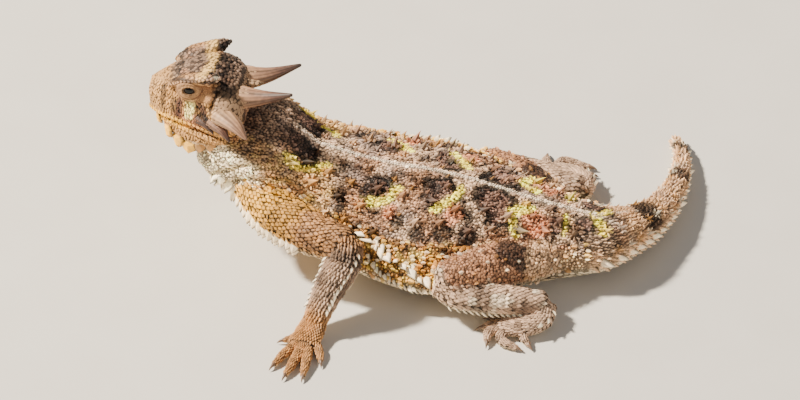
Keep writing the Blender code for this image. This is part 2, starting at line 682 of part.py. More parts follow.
def clear_of(others, at, tip, width):
    """True if a spine of that half width, from its foot to its tip, misses all other pieces."""
    for part, margin in ((0.0, width + GAP), (0.5, width / 2 + GAP), (1.0, GAP)):
        spot = Vector(at + (tip - at) * part) * MM
        for tree in others:
            if tree.find_nearest(spot)[3] < margin * MM or inside(tree, spot):
                return False
    return True


def spine_on(form, s, angle, height, width, tilt, lean=None, **shape):
    """A spine standing on a form, by default leaning back along it."""
    at, out = form.point(s, angle), form.normal(s, angle)
    lean = form.backward(s, angle) if lean is None else np.array(lean, float)
    tip = at + (out * math.cos(tilt) + unit(lean) * math.sin(tilt)) * height
    return at, tip, dict(at=at, out=out, lean=lean, height=height, width=width, tilt=tilt, **shape)


def plant(piece, wanted, others):
    """Fuse every wanted spine that is clear of the other pieces."""
    unite(piece, [spine(**shape) for at, tip, shape in wanted
                  if clear_of(others, at, tip, shape["width"])])


def angle_at(form, s, y):
    """The angle above the widest line at which a form's surface is y from its mid plane."""
    _, _, _, _, (wide, _, _, power, _) = form.frame(s)
    across = min(abs(y) / wide, 1.0) ** (power / 2)
    angle = math.acos(across)
    return angle if y > 0 else math.pi - angle


BACK_ROWS = (0.17, 0.36, 0.56, 0.76)     # rows of spines, as shares of the half width
BACK_STEP = 5.4                          # from one spine to the next along a row
FRINGE_STEP = 2.4                        # between the fringe scales of the flank
FRINGE_SPAN = (-20.0, 33.0)


def back_spines(draw):
    """Staggered rows of spines over the back, the largest half way down the sides."""
    torso = FORMS["torso"][0]
    wanted = []
    for row, share in enumerate(BACK_ROWS):
        for side in (-1, 1):
            x = -25.0 + 0.5 * BACK_STEP * (row % 2)
            while x < 35.0:
                s = torso.at_x(x + draw.uniform(-0.6, 0.6))
                wide = torso.frame(s)[4][0]
                y = side * wide * (share + draw.uniform(-0.03, 0.03))
                height = (1.7, 2.5, 2.6, 2.0)[row] * draw.uniform(0.85, 1.15)
                wanted.append(spine_on(torso, s, angle_at(torso, s, y), height,
                                       width=0.44 * height, tilt=math.radians(38)))
                x += BACK_STEP
    return wanted


def flank_fringe():
    """Two rows of flat pointed scales along each side of the belly."""
    torso = FORMS["torso"][0]
    wanted = []
    for side in (-1, 1):
        for drop, height, shift in ((0.16, 2.4, 0.0), (-0.34, 1.9, 0.5)):
            angle = drop if side > 0 else math.pi - drop
            for k in range(int((FRINGE_SPAN[1] - FRINGE_SPAN[0]) / FRINGE_STEP)):
                s = torso.at_x(FRINGE_SPAN[0] + (k + shift) * FRINGE_STEP)
                wanted.append(spine_on(torso, s, angle, height, width=0.8,
                                       tilt=math.radians(40), flat=0.6, sides=4))
    return wanted


def row_along(form, start, end, step, angle, height, width, tilt=0.8, taper=1.0, **shape):
    """Spines in one row along a form, from one length along it to another."""
    count = max(int((end - start) / step), 1)
    wanted = []
    for k in range(count + 1):
        part = k / count
        size = 1 + (taper - 1) * part
        wanted.append(spine_on(form, start + (end - start) * part, angle, height * size,
                               width * size, tilt, **shape))
    return wanted


def tail_spines(start, end):
    """Side fringes and two rows on top for one length of the tail."""
    tail = FORMS["tail_base"][0]
    wanted = []
    first, last = start + 1.0, end - 1.2
    size = 1 - 0.55 * first / tail.length
    for angle, scale in ((0.0, 1.0), (math.pi, 1.0), (1.1, 0.9), (math.pi - 1.1, 0.9)):
        wanted += row_along(tail, first, last, 2.6 if scale == 1.0 else 4.0, angle,
                            2.3 * scale * size, 0.85 * scale * size, flat=0.7, sides=4,
                            taper=0.7)
    return wanted


LIMB_SCALES = {
    # node: rows of (start, end, step, angle, height, half width, taper)
    "upper_arm_left": ((6.0, 22.0, 2.1, -2.3, 2.3, 0.95, 0.8),),
    "upper_arm_right": ((6.0, 18.0, 2.4, -0.9, 2.0, 0.9, 0.8),),
    "forearm_left": ((4.0, 16.0, 2.4, 2.6, 1.5, 0.8, 0.8), (5.0, 16.0, 2.4, 0.5, 1.5, 0.8, 0.8)),
    "forearm_right": ((3.0, 11.0, 2.6, 2.6, 1.4, 0.8, 0.8),),
    "thigh_left": ((14.0, 27.0, 2.6, 2.5, 1.6, 0.9, 1.0),),
    "thigh_right": ((14.0, 27.0, 2.6, 0.6, 1.6, 0.9, 1.0),),
    "shank_left": ((4.0, 20.0, 2.6, -0.7, 1.6, 0.9, 0.8),),
    "shank_right": ((4.0, 20.0, 2.6, -2.4, 1.6, 0.9, 0.8),),
    "foot_left": ((2.0, 6.0, 2.2, 0.4, 1.3, 0.7, 0.8),),
    "foot_right": ((2.0, 6.0, 2.2, 2.8, 1.3, 0.7, 0.8),),
}


def limb_scales(name):
    form = FORMS[name][0]
    wanted = []
    for start, end, step, angle, height, width, taper in LIMB_SCALES[name]:
        end = min(end, form.length)
        wanted += row_along(form, start, end, step, angle, height, width, taper=taper,
                            flat=0.7, sides=4)
    return wanted


def jaw_scales():
    """The enlarged pointed scales under the edge of the lower jaw."""
    jaw = FORMS["jaw"][0]
    wanted = []
    for side in (-1, 1):
        for k, x in enumerate((-7.4, -5.2, -3.0, -0.6, 1.8, 4.0)):
            drop = 0.95 - 0.05 * k
            angle = -drop if side > 0 else math.pi + drop
            size = 0.7 + 0.1 * k
            wanted.append(spine_on(jaw, jaw.at_x(x), angle, 1.9 * size, 1.35 * size,
                                   tilt=0.75, flat=0.6, sides=4))
    return wanted


def throat_fringe():
    """A row of pale pointed scales along each side of the throat."""
    neck = FORMS["neck"][0]
    wanted = []
    for side in (-1, 1):
        for k in range(5):
            angle = -0.75 if side > 0 else math.pi + 0.75
            wanted.append(spine_on(neck, 5.2 + 2.2 * k, angle, 1.8, 0.85, tilt=0.7,
                                   flat=0.6, sides=4))
    return wanted


def nape_spines(draw):
    """A few spines on the nape behind the horns."""
    neck = FORMS["neck"][0]
    return [spine_on(neck, 10.5 + 2.6 * row, 0.5 * math.pi + turn + draw.uniform(-0.05, 0.05),
                     1.7, 0.7, tilt=0.7)
            for row in range(2) for turn in (-0.75, -0.3, 0.3, 0.75)]


SHADES = {
    "torso": "8A7566", "neck": "B8A58A", "head": "A89880", "jaw": "C9A25C",
    "tail_base": "8F7A68", "tail_middle": "9A846E", "tail_tip": "A79479",
    "upper_arm": "C79A5C", "forearm": "8C7463", "hand": "8C7463",
    "thigh": "937868", "shank": "8C7463", "foot": "8C7463",
    "eye": "1C1512", "horn": "9B7B6A",
}


def shade_of(name):
    for key in sorted(SHADES, key=len, reverse=True):
        if name.startswith(key):
            return SHADES[key]
    return "8A7566"


def tree_of(piece):
    shape = bmesh.new()
    shape.from_mesh(piece.data)
    tree = BVHTree.FromBMesh(shape)
    shape.free()
    return tree


def finish(piece):
    """Move a piece to its place round the origin, give it its material and smooth shading."""
    shift = Matrix.Translation((-FLOOR_CENTRE[0] * MM, -FLOOR_CENTRE[1] * MM, 0))
    piece.data.transform(shift)
    roughness = 0.2 if piece.name.startswith("eye") else 0.7
    piece.data.materials.clear()
    piece.data.materials.append(material(piece.name + "_finish", shade_of(piece.name), roughness))
    piece.data.shade_smooth()
    move_to(piece, "horned_lizard")


def main():
    for old in list(bpy.data.objects):
        bpy.data.objects.remove(old, do_unlink=True)
    draw = random.Random(SEED)
    made = make_bodies()
    made.update(make_horns())
    make_head_details(made["head"])
    made.update(make_eyes())
    add_digits(made["hand_left"], FINGERS_LEFT)
    add_digits(made["hand_right"], FINGERS_RIGHT)
    add_digits(made["foot_left"], TOES_LEFT)
    add_digits(made["foot_right"], TOES_RIGHT)

    trees = {name: tree_of(piece) for name, piece in made.items()}
    growth = {
        "torso": back_spines(draw) + flank_fringe(),
        "jaw": jaw_scales(),
        "neck": throat_fringe() + nape_spines(draw),
    }
    tail_length = FORMS["tail_base"][0].length
    growth["tail_base"] = tail_spines(4.0, TAIL_PARTS[0][2])
    growth["tail_middle"] = tail_spines(TAIL_PARTS[1][1], TAIL_PARTS[1][2])
    growth["tail_tip"] = tail_spines(TAIL_PARTS[2][1], tail_length - 5.0)
    for name in LIMB_SCALES:
        growth[name] = limb_scales(name)
    for name, wanted in growth.items():
        plant(made[name], wanted, [tree for other, tree in trees.items() if other != name])

    low = [name for name, piece in made.items()
           if min(v.co.z for v in piece.data.vertices) < 0.0]
    for name in low:
        subtract(made[name], [floor_cutter()])
    for piece in made.values():
        finish(piece)


main()
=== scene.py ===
import math
import random

import bmesh
import bpy
import numpy as np
from mathutils import Matrix, Vector
from mathutils.bvhtree import BVHTree
from mathutils.kdtree import KDTree


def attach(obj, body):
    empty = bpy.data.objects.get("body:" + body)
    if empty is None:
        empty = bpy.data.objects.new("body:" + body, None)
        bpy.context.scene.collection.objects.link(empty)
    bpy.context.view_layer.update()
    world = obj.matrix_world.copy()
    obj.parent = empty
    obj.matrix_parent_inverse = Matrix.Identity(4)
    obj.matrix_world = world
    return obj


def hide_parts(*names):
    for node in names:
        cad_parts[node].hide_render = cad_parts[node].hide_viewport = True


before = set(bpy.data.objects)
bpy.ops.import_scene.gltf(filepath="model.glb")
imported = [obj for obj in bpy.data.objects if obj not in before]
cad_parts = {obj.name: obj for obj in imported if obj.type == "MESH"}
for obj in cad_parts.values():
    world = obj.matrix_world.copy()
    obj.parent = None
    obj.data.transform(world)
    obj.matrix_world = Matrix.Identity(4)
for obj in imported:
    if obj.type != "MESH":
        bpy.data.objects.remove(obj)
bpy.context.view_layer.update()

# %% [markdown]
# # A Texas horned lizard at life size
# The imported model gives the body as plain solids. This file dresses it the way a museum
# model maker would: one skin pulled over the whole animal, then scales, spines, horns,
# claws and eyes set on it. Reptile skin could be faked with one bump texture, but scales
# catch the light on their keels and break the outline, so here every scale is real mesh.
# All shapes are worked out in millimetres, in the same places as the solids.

MM = 0.001
PLAN_SHIFT = np.array((1.0, 3.4, 0.0))    # from the sections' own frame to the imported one
COAT_DEPTH = 0.35                         # the skin lies this far inside the solids
rng = np.random.default_rng(11)


def metres(points):
    """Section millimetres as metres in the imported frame."""
    return (np.asarray(points, float) + PLAN_SHIFT) * MM


def unit(vectors):
    """Every row at length one."""
    return vectors / np.maximum(np.linalg.norm(vectors, axis=-1, keepdims=True), 1e-9)


def way_along(line):
    """The way covered up to each point of a line."""
    steps = np.linalg.norm(np.diff(line, axis=0), axis=1)
    return np.concatenate(([0.0], np.cumsum(steps)))


def on_line(line, at):
    """Places on a line through points, at given ways along it."""
    return np.column_stack([np.interp(at, way_along(line), line[:, k]) for k in range(3)])


def tube(rings, sides, first=0):
    """Faces that join rings of points to a tube."""
    return [(first + r * sides + k, first + r * sides + (k + 1) % sides,
             first + (r + 1) * sides + (k + 1) % sides, first + (r + 1) * sides + k)
            for r in range(rings - 1) for k in range(sides)]


def ends(rings, sides):
    """The two flat ends of such a tube."""
    last = (rings - 1) * sides
    return [list(range(sides))[::-1], list(range(last, last + sides))]


def fan(first, sides, tip):
    """Faces from one ring of points to a tip."""
    return [(first + k, first + (k + 1) % sides, tip) for k in range(sides)]


# %% [markdown]
# ## Light, floor and camera
# A museum model is photographed on a pale sweep under soft lamps. A bare sun would give
# hard black shadows under each scale. One warm lamp from the upper left is just small
# enough to draw the relief, and a large weak one on the other side opens the shadows. The
# camera is a very long lens 3.3 m away, looking down at 40 degrees on the left side.

# %% Camera
AZIMUTH, ELEVATION = math.radians(12), math.radians(40)
DISTANCE = 3.332
AIM = Vector((-2.42, 4.46, 10.0)) * MM


def add_camera():
    lens = bpy.data.cameras.new("camera")
    lens.lens, lens.sensor_width = 720, 36
    lens.clip_start, lens.clip_end = 0.05, 10
    holder = bpy.data.objects.new("camera", lens)
    bpy.context.scene.collection.objects.link(holder)
    back = Vector((math.sin(AZIMUTH) * math.cos(ELEVATION),
                   -math.cos(AZIMUTH) * math.cos(ELEVATION), math.sin(ELEVATION)))
    holder.location = AIM + back * DISTANCE
    holder.rotation_euler = (-back).to_track_quat("-Z", "Y").to_euler()
    bpy.context.scene.camera = holder
    return holder


camera = add_camera()
print("camera at", [round(v, 3) for v in camera.location])


# %% Colours and material nodes
def linear(shade):
    """An sRGB hex value as linear red, green and blue."""
    levels = [int(shade[i:i + 2], 16) / 255 for i in (0, 2, 4)]
    return [v / 12.92 if v <= 0.04045 else ((v + 0.055) / 1.055) ** 2.4 for v in levels]


def node(tree, kind, settings=None, values=None, links=None):
    """Add one node with its settings, its plain input values and its incoming links."""
    made = tree.nodes.new(kind)
    for name, value in (settings or {}).items():
        setattr(made, name, value)
    for key, value in (values or {}).items():
        made.inputs[key].default_value = value
    for key, source in (links or {}).items():
        tree.links.new(source, made.inputs[key])
    return made


def new_material(name, **values):
    """A material with one Principled shader, whose plain values are given by socket name."""
    finish = bpy.data.materials.new(name)
    finish.use_nodes = True
    tree = finish.node_tree
    shader = tree.nodes["Principled BSDF"]
    for key, value in values.items():
        shader.inputs[key.replace("_", " ")].default_value = value
    return finish, tree, shader


def attribute(tree, name):
    """A named attribute of the mesh."""
    return node(tree, "ShaderNodeAttribute", {"attribute_name": name})


def pattern(tree, kind, scale, **values):
    """A procedural pattern in Object coordinates."""
    place = node(tree, "ShaderNodeTexCoord")
    return node(tree, "ShaderNodeTex" + kind, values={"Scale": scale, **values},
                links={"Vector": place.outputs["Object"]})


def mapped(tree, source, low, high, start=0.0, end=1.0):
    """A value that runs from start to end, as one from low to high."""
    values = {"From Min": start, "From Max": end, "To Min": low, "To Max": high}
    return node(tree, "ShaderNodeMapRange", values=values,
                links={"Value": source}).outputs["Result"]


def maths(tree, operation, values=None, links=None):
    return node(tree, "ShaderNodeMath", {"operation": operation}, values, links).outputs[0]


def ramp(tree, source, *stops):
    """Colours for a value from 0 to 1. Each stop is a place and an sRGB hex value."""
    made = node(tree, "ShaderNodeValToRGB", links={"Fac": source})
    steps = made.color_ramp.elements
    while len(steps) < len(stops):
        steps.new(0.5)
    for step, (place, shade) in zip(steps, stops):
        step.position, step.color = place, (*linear(shade), 1)
    return made.outputs["Color"]


def multiplied(tree, colour, level):
    mixed = node(tree, "ShaderNodeMix", {"data_type": "RGBA", "blend_type": "MULTIPLY"},
                 {"Factor": 1.0}, {6: colour, 7: level})
    return mixed.outputs[2]


def add_bump(tree, shader, height, strength, depth, **settings):
    bump = node(tree, "ShaderNodeBump", settings, {"Strength": strength, "Distance": depth * MM},
                {"Height": height})
    tree.links.new(bump.outputs["Normal"], shader.inputs["Normal"])


# %% Floor and lamps
def paper_floor():
    """Matte studio paper: pulp fibre gives it a faint mottle and no shine at all."""
    finish, tree, shader = new_material("matte studio paper", Roughness=0.9)
    mottle = pattern(tree, "Noise", 60.0, Detail=3.0)
    tone = ramp(tree, mottle.outputs["Fac"], (0.0, "D3CEC6"), (1.0, "DDD9D2"))
    tree.links.new(tone, shader.inputs["Base Color"])
    return finish


def add_floor(half=1.6):
    sheet = bpy.data.meshes.new("floor")
    sheet.from_pydata([(-half, -half, 0), (half, -half, 0), (half, half, 0), (-half, half, 0)],
                      [], [(0, 1, 2, 3)])
    sheet.materials.append(paper_floor())
    floor = bpy.data.objects.new("floor", sheet)
    bpy.context.scene.collection.objects.link(floor)


def add_lamp(name, place, size, power, shade):
    """A square soft lamp that looks at the middle of the animal."""
    lamp = bpy.data.lights.new(name, "AREA")
    lamp.size, lamp.energy, lamp.color = size, power, linear(shade)
    holder = bpy.data.objects.new(name, lamp)
    holder.location = place
    holder.rotation_euler = (AIM - Vector(place)).to_track_quat("-Z", "Y").to_euler()
    bpy.context.scene.collection.objects.link(holder)


def add_surroundings(strength=0.27):
    """An even pale room, so that no side of the animal falls into black."""
    world = bpy.data.worlds.new("studio")
    bpy.context.scene.world = world
    world.use_nodes = True
    sky = world.node_tree.nodes["Background"]
    sky.inputs["Color"].default_value = (*linear("F1F3F6"), 1)
    sky.inputs["Strength"].default_value = strength


add_floor()
add_lamp("key", (-1.24, -0.06, 1.36), 0.16, 118.0, "FFF3E0")
add_lamp("fill", (1.10, -0.70, 0.60), 0.90, 4.6, "FFF8EE")
add_surroundings()
print("stage set")

# %% [markdown]
# ## The body's sections
# A lizard's body is a run of soft ovals. The solids were lofted through the sections
# below, so the skin repeats them: rows of a centre, a half width, a rise and a drop, with
# a power for the fullness of the curve above and below (2 is an oval, less is tent-like).
# A subdivision cage would also do, but sections can be asked for any point, its normal
# and the direction of the scales' lie, which everything after this needs.

# %% Sections of torso, neck and tail
def table(text):
    """Rows of numbers, from text in which a slash or the end of a line ends each row."""
    return [tuple(map(float, row.split())) for row in text.replace("\n", "/").split("/")
            if row.strip()]


# x, half width, top, height of the widest line, belly, power above, power below
TORSO = table("""
-31 9 29.6 22 14.5 1.9 2.2
-24 14.5 25.4 15.5 9 1.6 2.3
-16 18.5 22.9 11.5 5.5 1.5 2.4
-6 21.5 21.4 9 2.4 1.4 2.4
4 22.6 20.8 7.6 0.6 1.4 2.4
12 20.8 19.9 6.8 -0.3 1.4 2.4
19 17.2 18.3 6.3 -0.5 1.5 2.4
26 13.2 16.6 6 -0.4 1.6 2.3
32 10.4 15.6 6.2 0.3 1.7 2.2
38 8.6 14.6 6.8 1.4 1.8 2.1
""")
# From here on: centre x, y, z, half width, rise, drop, power above, power below
NECK = table("""
-43.5 -0.9 24.2 8.3 4 7.2 2 2.4
-40 -0.7 23.6 10.2 7 8.8 2 2.5
-35 -0.3 22.4 11.6 9 10 2 2.5
-30 0 20.4 13.2 9 10.4 1.9 2.4
-25 0 17 12.6 8 7.6 1.8 2.2
""")
TAIL = table("""
34 -0.8 7.4 9.2 7.8 6.2 1.8 2.1
38.7 0.8 6.9 7.9 7.2 5.3 1.8 2.1
42.6 4.6 6 6.2 5.6 4.6 1.9 2.1
45.9 9 5.2 4.8 4.4 4 2 2.1
48.5 14.3 4.5 3.7 3.5 3.4 2 2.1
49.9 20 3.9 3 2.9 2.9 2 2
50.5 26.2 3.2 2.4 2.4 2.5 2 2
50.1 32.8 2.4 1.9 1.9 2.1 2 2
49 38 1.8 1.6 1.6 1.9 2 2
46.8 42.2 1.4 1.2 1.3 1.6 2 2
""")

# %% Sections of the head, in a frame of its own
# x runs back from the snout to the nape, y to the animal's right, z up from the eye's foot
HEAD_AT = (-46.0, -0.8, 33.0)
HEAD_ROLL, HEAD_YAW = math.radians(-10), math.radians(4)
HEAD = table("""
-9.4 3.1 3.5 0.6 -3.9 2.2 2.1
-7.4 4.8 4.9 -0.4 -5.2 2.3 2.3
-4.2 6.7 6.7 -1 -7 2.5 2.4
0 8 7.9 -1 -7.8 2.6 2.4
4 9.4 8.5 -0.8 -8 2.5 2.4
7.4 10.3 7.4 -0.6 -7.6 2.2 2.3
9.8 9.2 5.4 -0.4 -6.6 2.1 2.2
""")
JAW = table("""
-7.5 2.7 -2 -4 -5.6 2.2 2.2
-5.9 4.4 -2 -4.7 -7.5 2.3 2.3
-3.4 6.2 -2 -5.2 -10 2.4 2.4
-0.6 7.4 -2 -5.6 -11.6 2.4 2.5
3 8.5 -2 -5.6 -10.6 2.3 2.5
7 9.2 -2 -5.4 -8.6 2.2 2.3
""")
# Brow ridge over each eye, for the side of +y: centre, half width, rise, drop, powers
BROW = table("""
-5 5 4.7 0.9 0.8 0.8 2 2
-2.4 6.3 6.6 1.4 1 1 2 2
1.2 6.8 7.4 2 1.2 1.2 2 2
3.4 7.2 7.9 1.8 1.2 1.4 2 2
5.9 8.1 8.8 0.25 0.25 0.25 2 2
""")
MOUTH_LINE = ((-13.0, -3.5), (-9.0, -3.9), (-4.0, -3.5), (1.0, -4.4), (6.0, -5.4), (13.0, -5.2))
EYE_AT = (-0.7, 5.8, 5.0)
EYE_RADIUS = 2.5
LID_RADIUS = 3.35
NOSTRIL_AT = (-9.9, 2.4, 1.3)
# A horn: foot, bend, tip, radius at the foot and how flat it is, for the side of +y
HORNS = {
    "occipital": ((8.2, 3.9, 2.2), (14.2, 4.9, 3.2), (20.6, 6.4, 5.3), 2.9, 0.95),
    "temporal_rear": ((6.4, 8.6, 0.4), (9.9, 11.9, -0.4), (12.3, 14.1, -1.8), 2.9, 0.66),
    "temporal_middle": ((4.6, 8.4, -1.4), (6.9, 10.6, -2.4), (8.5, 12.0, -3.9), 1.9, 0.75),
    "temporal_front": ((1.6, 7.4, -1.6), (3.4, 9.0, -2.3), (4.8, 9.9, -3.6), 1.4, 0.8),
}
HORN_TAPER = (1.0, 0.56, 0.12)           # of the radius, at the foot, the bend and the tip

# %% Sections of the limbs: centre x, y, z, half width, rise, drop
LIMBS = {name: table(text) for name, text in {
    "upper_arm_left": """-33 -7 17 5 5 5.4 / -28 -12.8 15.6 5.2 5 5.6
        -18.5 -18.6 14.8 4.8 4.7 5 / -10.6 -21.4 14.8 4 4.1 4.2""",
    "forearm_left": """-9.6 -20.6 16 3.2 3.2 3.2 / -10.2 -24.4 12.6 4 3.8 3.8
        -12.6 -29.2 7.2 3.3 3.2 3.2 / -14.2 -32.6 3.4 2.7 2.3 2.4""",
    "hand_left": """-13.7 -31 4.6 2.3 2 2 / -14.6 -34.2 2.4 3.1 1.9 2.2
        -15.4 -38.6 1.7 3.4 1.6 2""",
    "upper_arm_right": """-32 6 17 5 5 5 / -28.5 12 14 4.9 4.8 4.8 / -24 17 10.6 4.2 4.2 4.2
        -20.6 20.2 8.2 3.7 3.7 3.7""",
    "forearm_right": """-19.4 19.4 8.6 3 3 3 / -22.4 21.8 6.6 3.6 3.5 3.4
        -26.4 24.6 4.4 3 3 3 / -29.6 26.8 2.9 2.6 2.3 2.4""",
    "hand_right": """-28.2 25.8 3.6 2.3 2 2 / -30.8 27.6 2.2 3 1.9 2.1
        -34.4 29.6 1.6 3.3 1.6 1.9""",
    "thigh_left": """33 -2.6 6.6 5 4.4 4.6 / 27 -9 8 5.2 4.7 5 / 19 -16 9.4 5.2 5 5.2
        11.4 -21.2 9.4 4.4 4.3 4.6""",
    "shank_left": """9.6 -21.4 8.4 3.2 3.2 3.2 / 14 -22.6 7.2 3.7 3.6 3.6
        23 -21.2 6 3.5 3.4 3.4 / 30.6 -19 4.4 3 2.9 2.9""",
    "foot_left": """31.4 -18.4 3.8 2.6 2.4 2.6 / 31.2 -21.6 2.8 2.9 2.3 2.8
        28 -24 2.3 2.9 2 2.5 / 23.8 -24.6 1.9 2.6 1.7 2.1""",
    "thigh_right": """33 2.6 6.4 5 4.4 4.6 / 27 8.8 7.2 5.2 4.7 5 / 19.3 14.9 7.8 5.2 4.9 5
        11.9 19.4 6.7 4.4 4.3 4.4""",
    "shank_right": """10.4 20.6 5.4 3 3 3 / 14.4 22.2 4.4 3.5 3.4 3.4
        23 21.8 4.1 3.4 3.3 3.3 / 30.2 20.6 3.5 2.9 2.8 2.8""",
    "foot_right": """31.2 20 3.2 2.6 2.3 2.6 / 31 23.2 2.6 2.9 2.2 2.7
        27.8 25.6 2.2 2.9 1.9 2.4 / 24 26.2 1.9 2.6 1.7 2.1""",
}.items()}
# How far each limb's end is rounded
LIMB_DOME = {"upper_arm": 3.0, "forearm": 1.2, "hand": 1.6, "thigh": 3.2, "shank": 1.8,
             "foot": 1.6}

# %% Fingers and toes: root, bend and tip of the centre line, radius at the root
DIGITS = {limb: [(*np.split(np.array(row[:9]), 3), row[9]) for row in table(text)]
          for limb, text in {
    "hand_left": """-16 -35.6 1.9 -17.8 -37 1.4 -19.6 -37.6 1 1.15
        -16.2 -38 1.6 -18.6 -41.8 1.2 -20.2 -45.4 0.8 1.2
        -15.4 -38.8 1.6 -16.2 -43.8 1.2 -17.2 -48 0.8 1.25
        -14.4 -38.8 1.6 -13.8 -43.4 1.2 -13.6 -47.6 0.8 1.2
        -13.4 -37.4 1.6 -11.8 -40 1.2 -11 -42.4 0.8 1.1""",
    "hand_right": """-32.4 26.8 1.7 -35 26 1.3 -36.8 25.2 0.9 1.1
        -34.6 28.6 1.6 -37.8 28.4 1.2 -40.8 28.4 0.8 1.2
        -34.8 29.6 1.6 -38.4 30.8 1.2 -42 31.6 0.8 1.25
        -34.4 30.4 1.6 -37.2 32.6 1.2 -39.8 34.2 0.8 1.2
        -33.2 30.6 1.6 -34 33 1.2 -35 34.8 0.8 1.1""",
    "foot_left": """25.6 -23.4 1.5 23 -22 1.2 20.6 -21.8 0.8 1
        24.4 -24 1.6 21.4 -24 1.2 19.6 -24.8 0.8 1.1
        23.8 -24.8 1.6 21.2 -26.8 1.3 21.4 -29.2 0.9 1.2
        24.4 -25.6 1.6 24.2 -28.6 1.3 27.6 -29.8 0.9 1.25
        28.4 -25 1.7 28.6 -26.8 1.3 30 -28.4 0.9 1.1""",
    "foot_right": """25.6 25.6 1.5 23 25.6 1.2 20.6 25.9 0.8 1
        24.4 26.4 1.6 21.4 27.4 1.2 19.2 28.4 0.8 1.1
        24 27 1.6 21.8 29.4 1.3 21.6 31.8 0.9 1.2
        24.4 27.2 1.7 25.4 30.4 1.5 31 30.2 1 1.25
        28.4 26.6 1.7 29.4 27.8 1.3 31.8 28 0.9 1.1""",
}.items()}


# %% A loft that can be asked for points
class Form:
    """A body form lofted through oval sections, which answers for whole arrays at once."""

    def __init__(self, rows, facing=None, place=None, domes=(0.0, 0.0)):
        self.rows = np.array([[*row, 2, 2] if len(row) == 6 else row for row in rows], float)
        self.facing, self.domes = facing, domes
        self.place = np.array(place) if place is not None else np.eye(4)
        self.knots = way_along(self.rows[:, :3])
        self.length = self.knots[-1]
        k = np.arange(len(self.knots))
        after, before = np.minimum(k + 1, k[-1]), np.maximum(k - 1, 0)
        self.slopes = ((self.rows[after] - self.rows[before])
                       / (self.knots[after] - self.knots[before])[:, None])

    def row(self, s):
        """The section at the length s along the form, on a smooth curve through every row."""
        s = np.clip(s, 0.0, self.length)
        i = np.clip(np.searchsorted(self.knots, s) - 1, 0, len(self.knots) - 2)
        width = (self.knots[i + 1] - self.knots[i])[..., None]
        t = (s - self.knots[i])[..., None] / width
        return ((2 * t**3 - 3 * t**2 + 1) * self.rows[i]
                + (t**3 - 2 * t**2 + t) * width * self.slopes[i]
                + (3 * t**2 - 2 * t**3) * self.rows[i + 1]
                + (t**3 - t**2) * width * self.slopes[i + 1])

    def frame(self, s):
        """Centre, directions along, to the right and up, and the sizes, for an array of s."""
        row = self.row(s)
        if self.facing is not None:
            along = np.broadcast_to(np.array(self.facing, float), row[..., :3].shape)
        else:
            step = 0.05 * self.length
            along = unit(self.row(s + step)[..., :3] - self.row(s - step)[..., :3])
        side = unit(np.cross(np.array((0.0, 0.0, 1.0)), along))
        return row[..., :3], along, side, np.cross(along, side), row[..., 3:]

    def point(self, s, angle, grow=0.0, shrink=1.0, push=0.0):
        """Surface points: angle 0 is the section's right, a quarter turn is its top."""
        s, angle = np.broadcast_arrays(np.asarray(s, float), np.asarray(angle, float))
        centre, along, side, lift, size = self.frame(s)
        across, rise = np.cos(angle), np.sin(angle)
        power = 2 / np.where(rise > 0, size[..., 3], size[..., 4])
        high = np.where(rise > 0, size[..., 1], size[..., 2])
        y = (size[..., 0] + grow) * shrink * np.sign(across) * np.abs(across) ** power
        z = (high + grow) * shrink * np.sign(rise) * np.abs(rise) ** power
        spot = (centre + along * np.asarray(push)[..., None] + side * y[..., None]
                + lift * z[..., None])
        return spot @ self.place[:3, :3].T + self.place[:3, 3]

    def backward(self, s, angle):
        """The direction along the surface towards the form's end."""
        return unit(self.point(s + 0.4, angle) - self.point(s - 0.4, angle))

    def out(self, s, angle):
        """The direction straight out of the surface."""
        around = self.point(s, angle + 0.06) - self.point(s, angle - 0.06)
        return unit(np.cross(around, self.backward(s, angle)))

    def at_x(self, x):
        """The length along the form at which its centre line passes x."""
        return np.interp(x, self.rows[:, 0], self.knots)

    def closed(self, step, grow, domed=5):
        """Points and faces of a closed mesh with cells about step wide."""
        rings = max(int(self.length / step), 4)
        girth = 2 * math.pi * self.rows[:, 3:5].max()
        sides = max(int(girth / step), 10)
        s = list(np.linspace(0, self.length, rings))
        shrink, push = [1.0] * rings, [0.0] * rings
        for j in range(1, domed):
            turn = 0.5 * math.pi * j / domed
            if self.domes[0]:
                s.insert(0, 0.0)
                shrink.insert(0, math.cos(turn))
                push.insert(0, -(self.domes[0] + grow) * math.sin(turn))
            if self.domes[1]:
                s.append(self.length)
                shrink.append(math.cos(turn))
                push.append((self.domes[1] + grow) * math.sin(turn))
        angle = np.arange(sides) * 2 * math.pi / sides
        s, shrink, push = (np.array(v)[:, None] for v in (s, shrink, push))
        points = self.point(s, angle[None], grow, shrink, push).reshape(-1, 3)
        return points, tube(len(s), sides) + ends(len(s), sides)


def from_profile(rows):
    """Rows of x, half width, top, widest, low and powers as loft rows on the mid plane."""
    return [(x, 0, edge, wide, top - edge, edge - low, above, below)
            for x, wide, top, edge, low, above, below in rows]


print("loft ready")

# %% All the forms by name
HEAD_PLACE = np.array(Matrix.Translation(HEAD_AT) @ Matrix.Rotation(HEAD_YAW, 4, "Z")
                      @ Matrix.Rotation(HEAD_ROLL, 4, "X"))


def in_head(points):
    """Places in the head's frame, in the body's frame."""
    return np.asarray(points, float) @ HEAD_PLACE[:3, :3].T + HEAD_PLACE[:3, 3]


def of_head(points):
    """Places in the body's frame, in the head's frame."""
    return (np.asarray(points, float) - HEAD_PLACE[:3, 3]) @ HEAD_PLACE[:3, :3]


def digit_rows(root, bend, tip, radius):
    return [(*root, radius, radius, radius), (*bend, *[radius * 0.92] * 3),
            (*tip, *[radius * 0.6] * 3)]


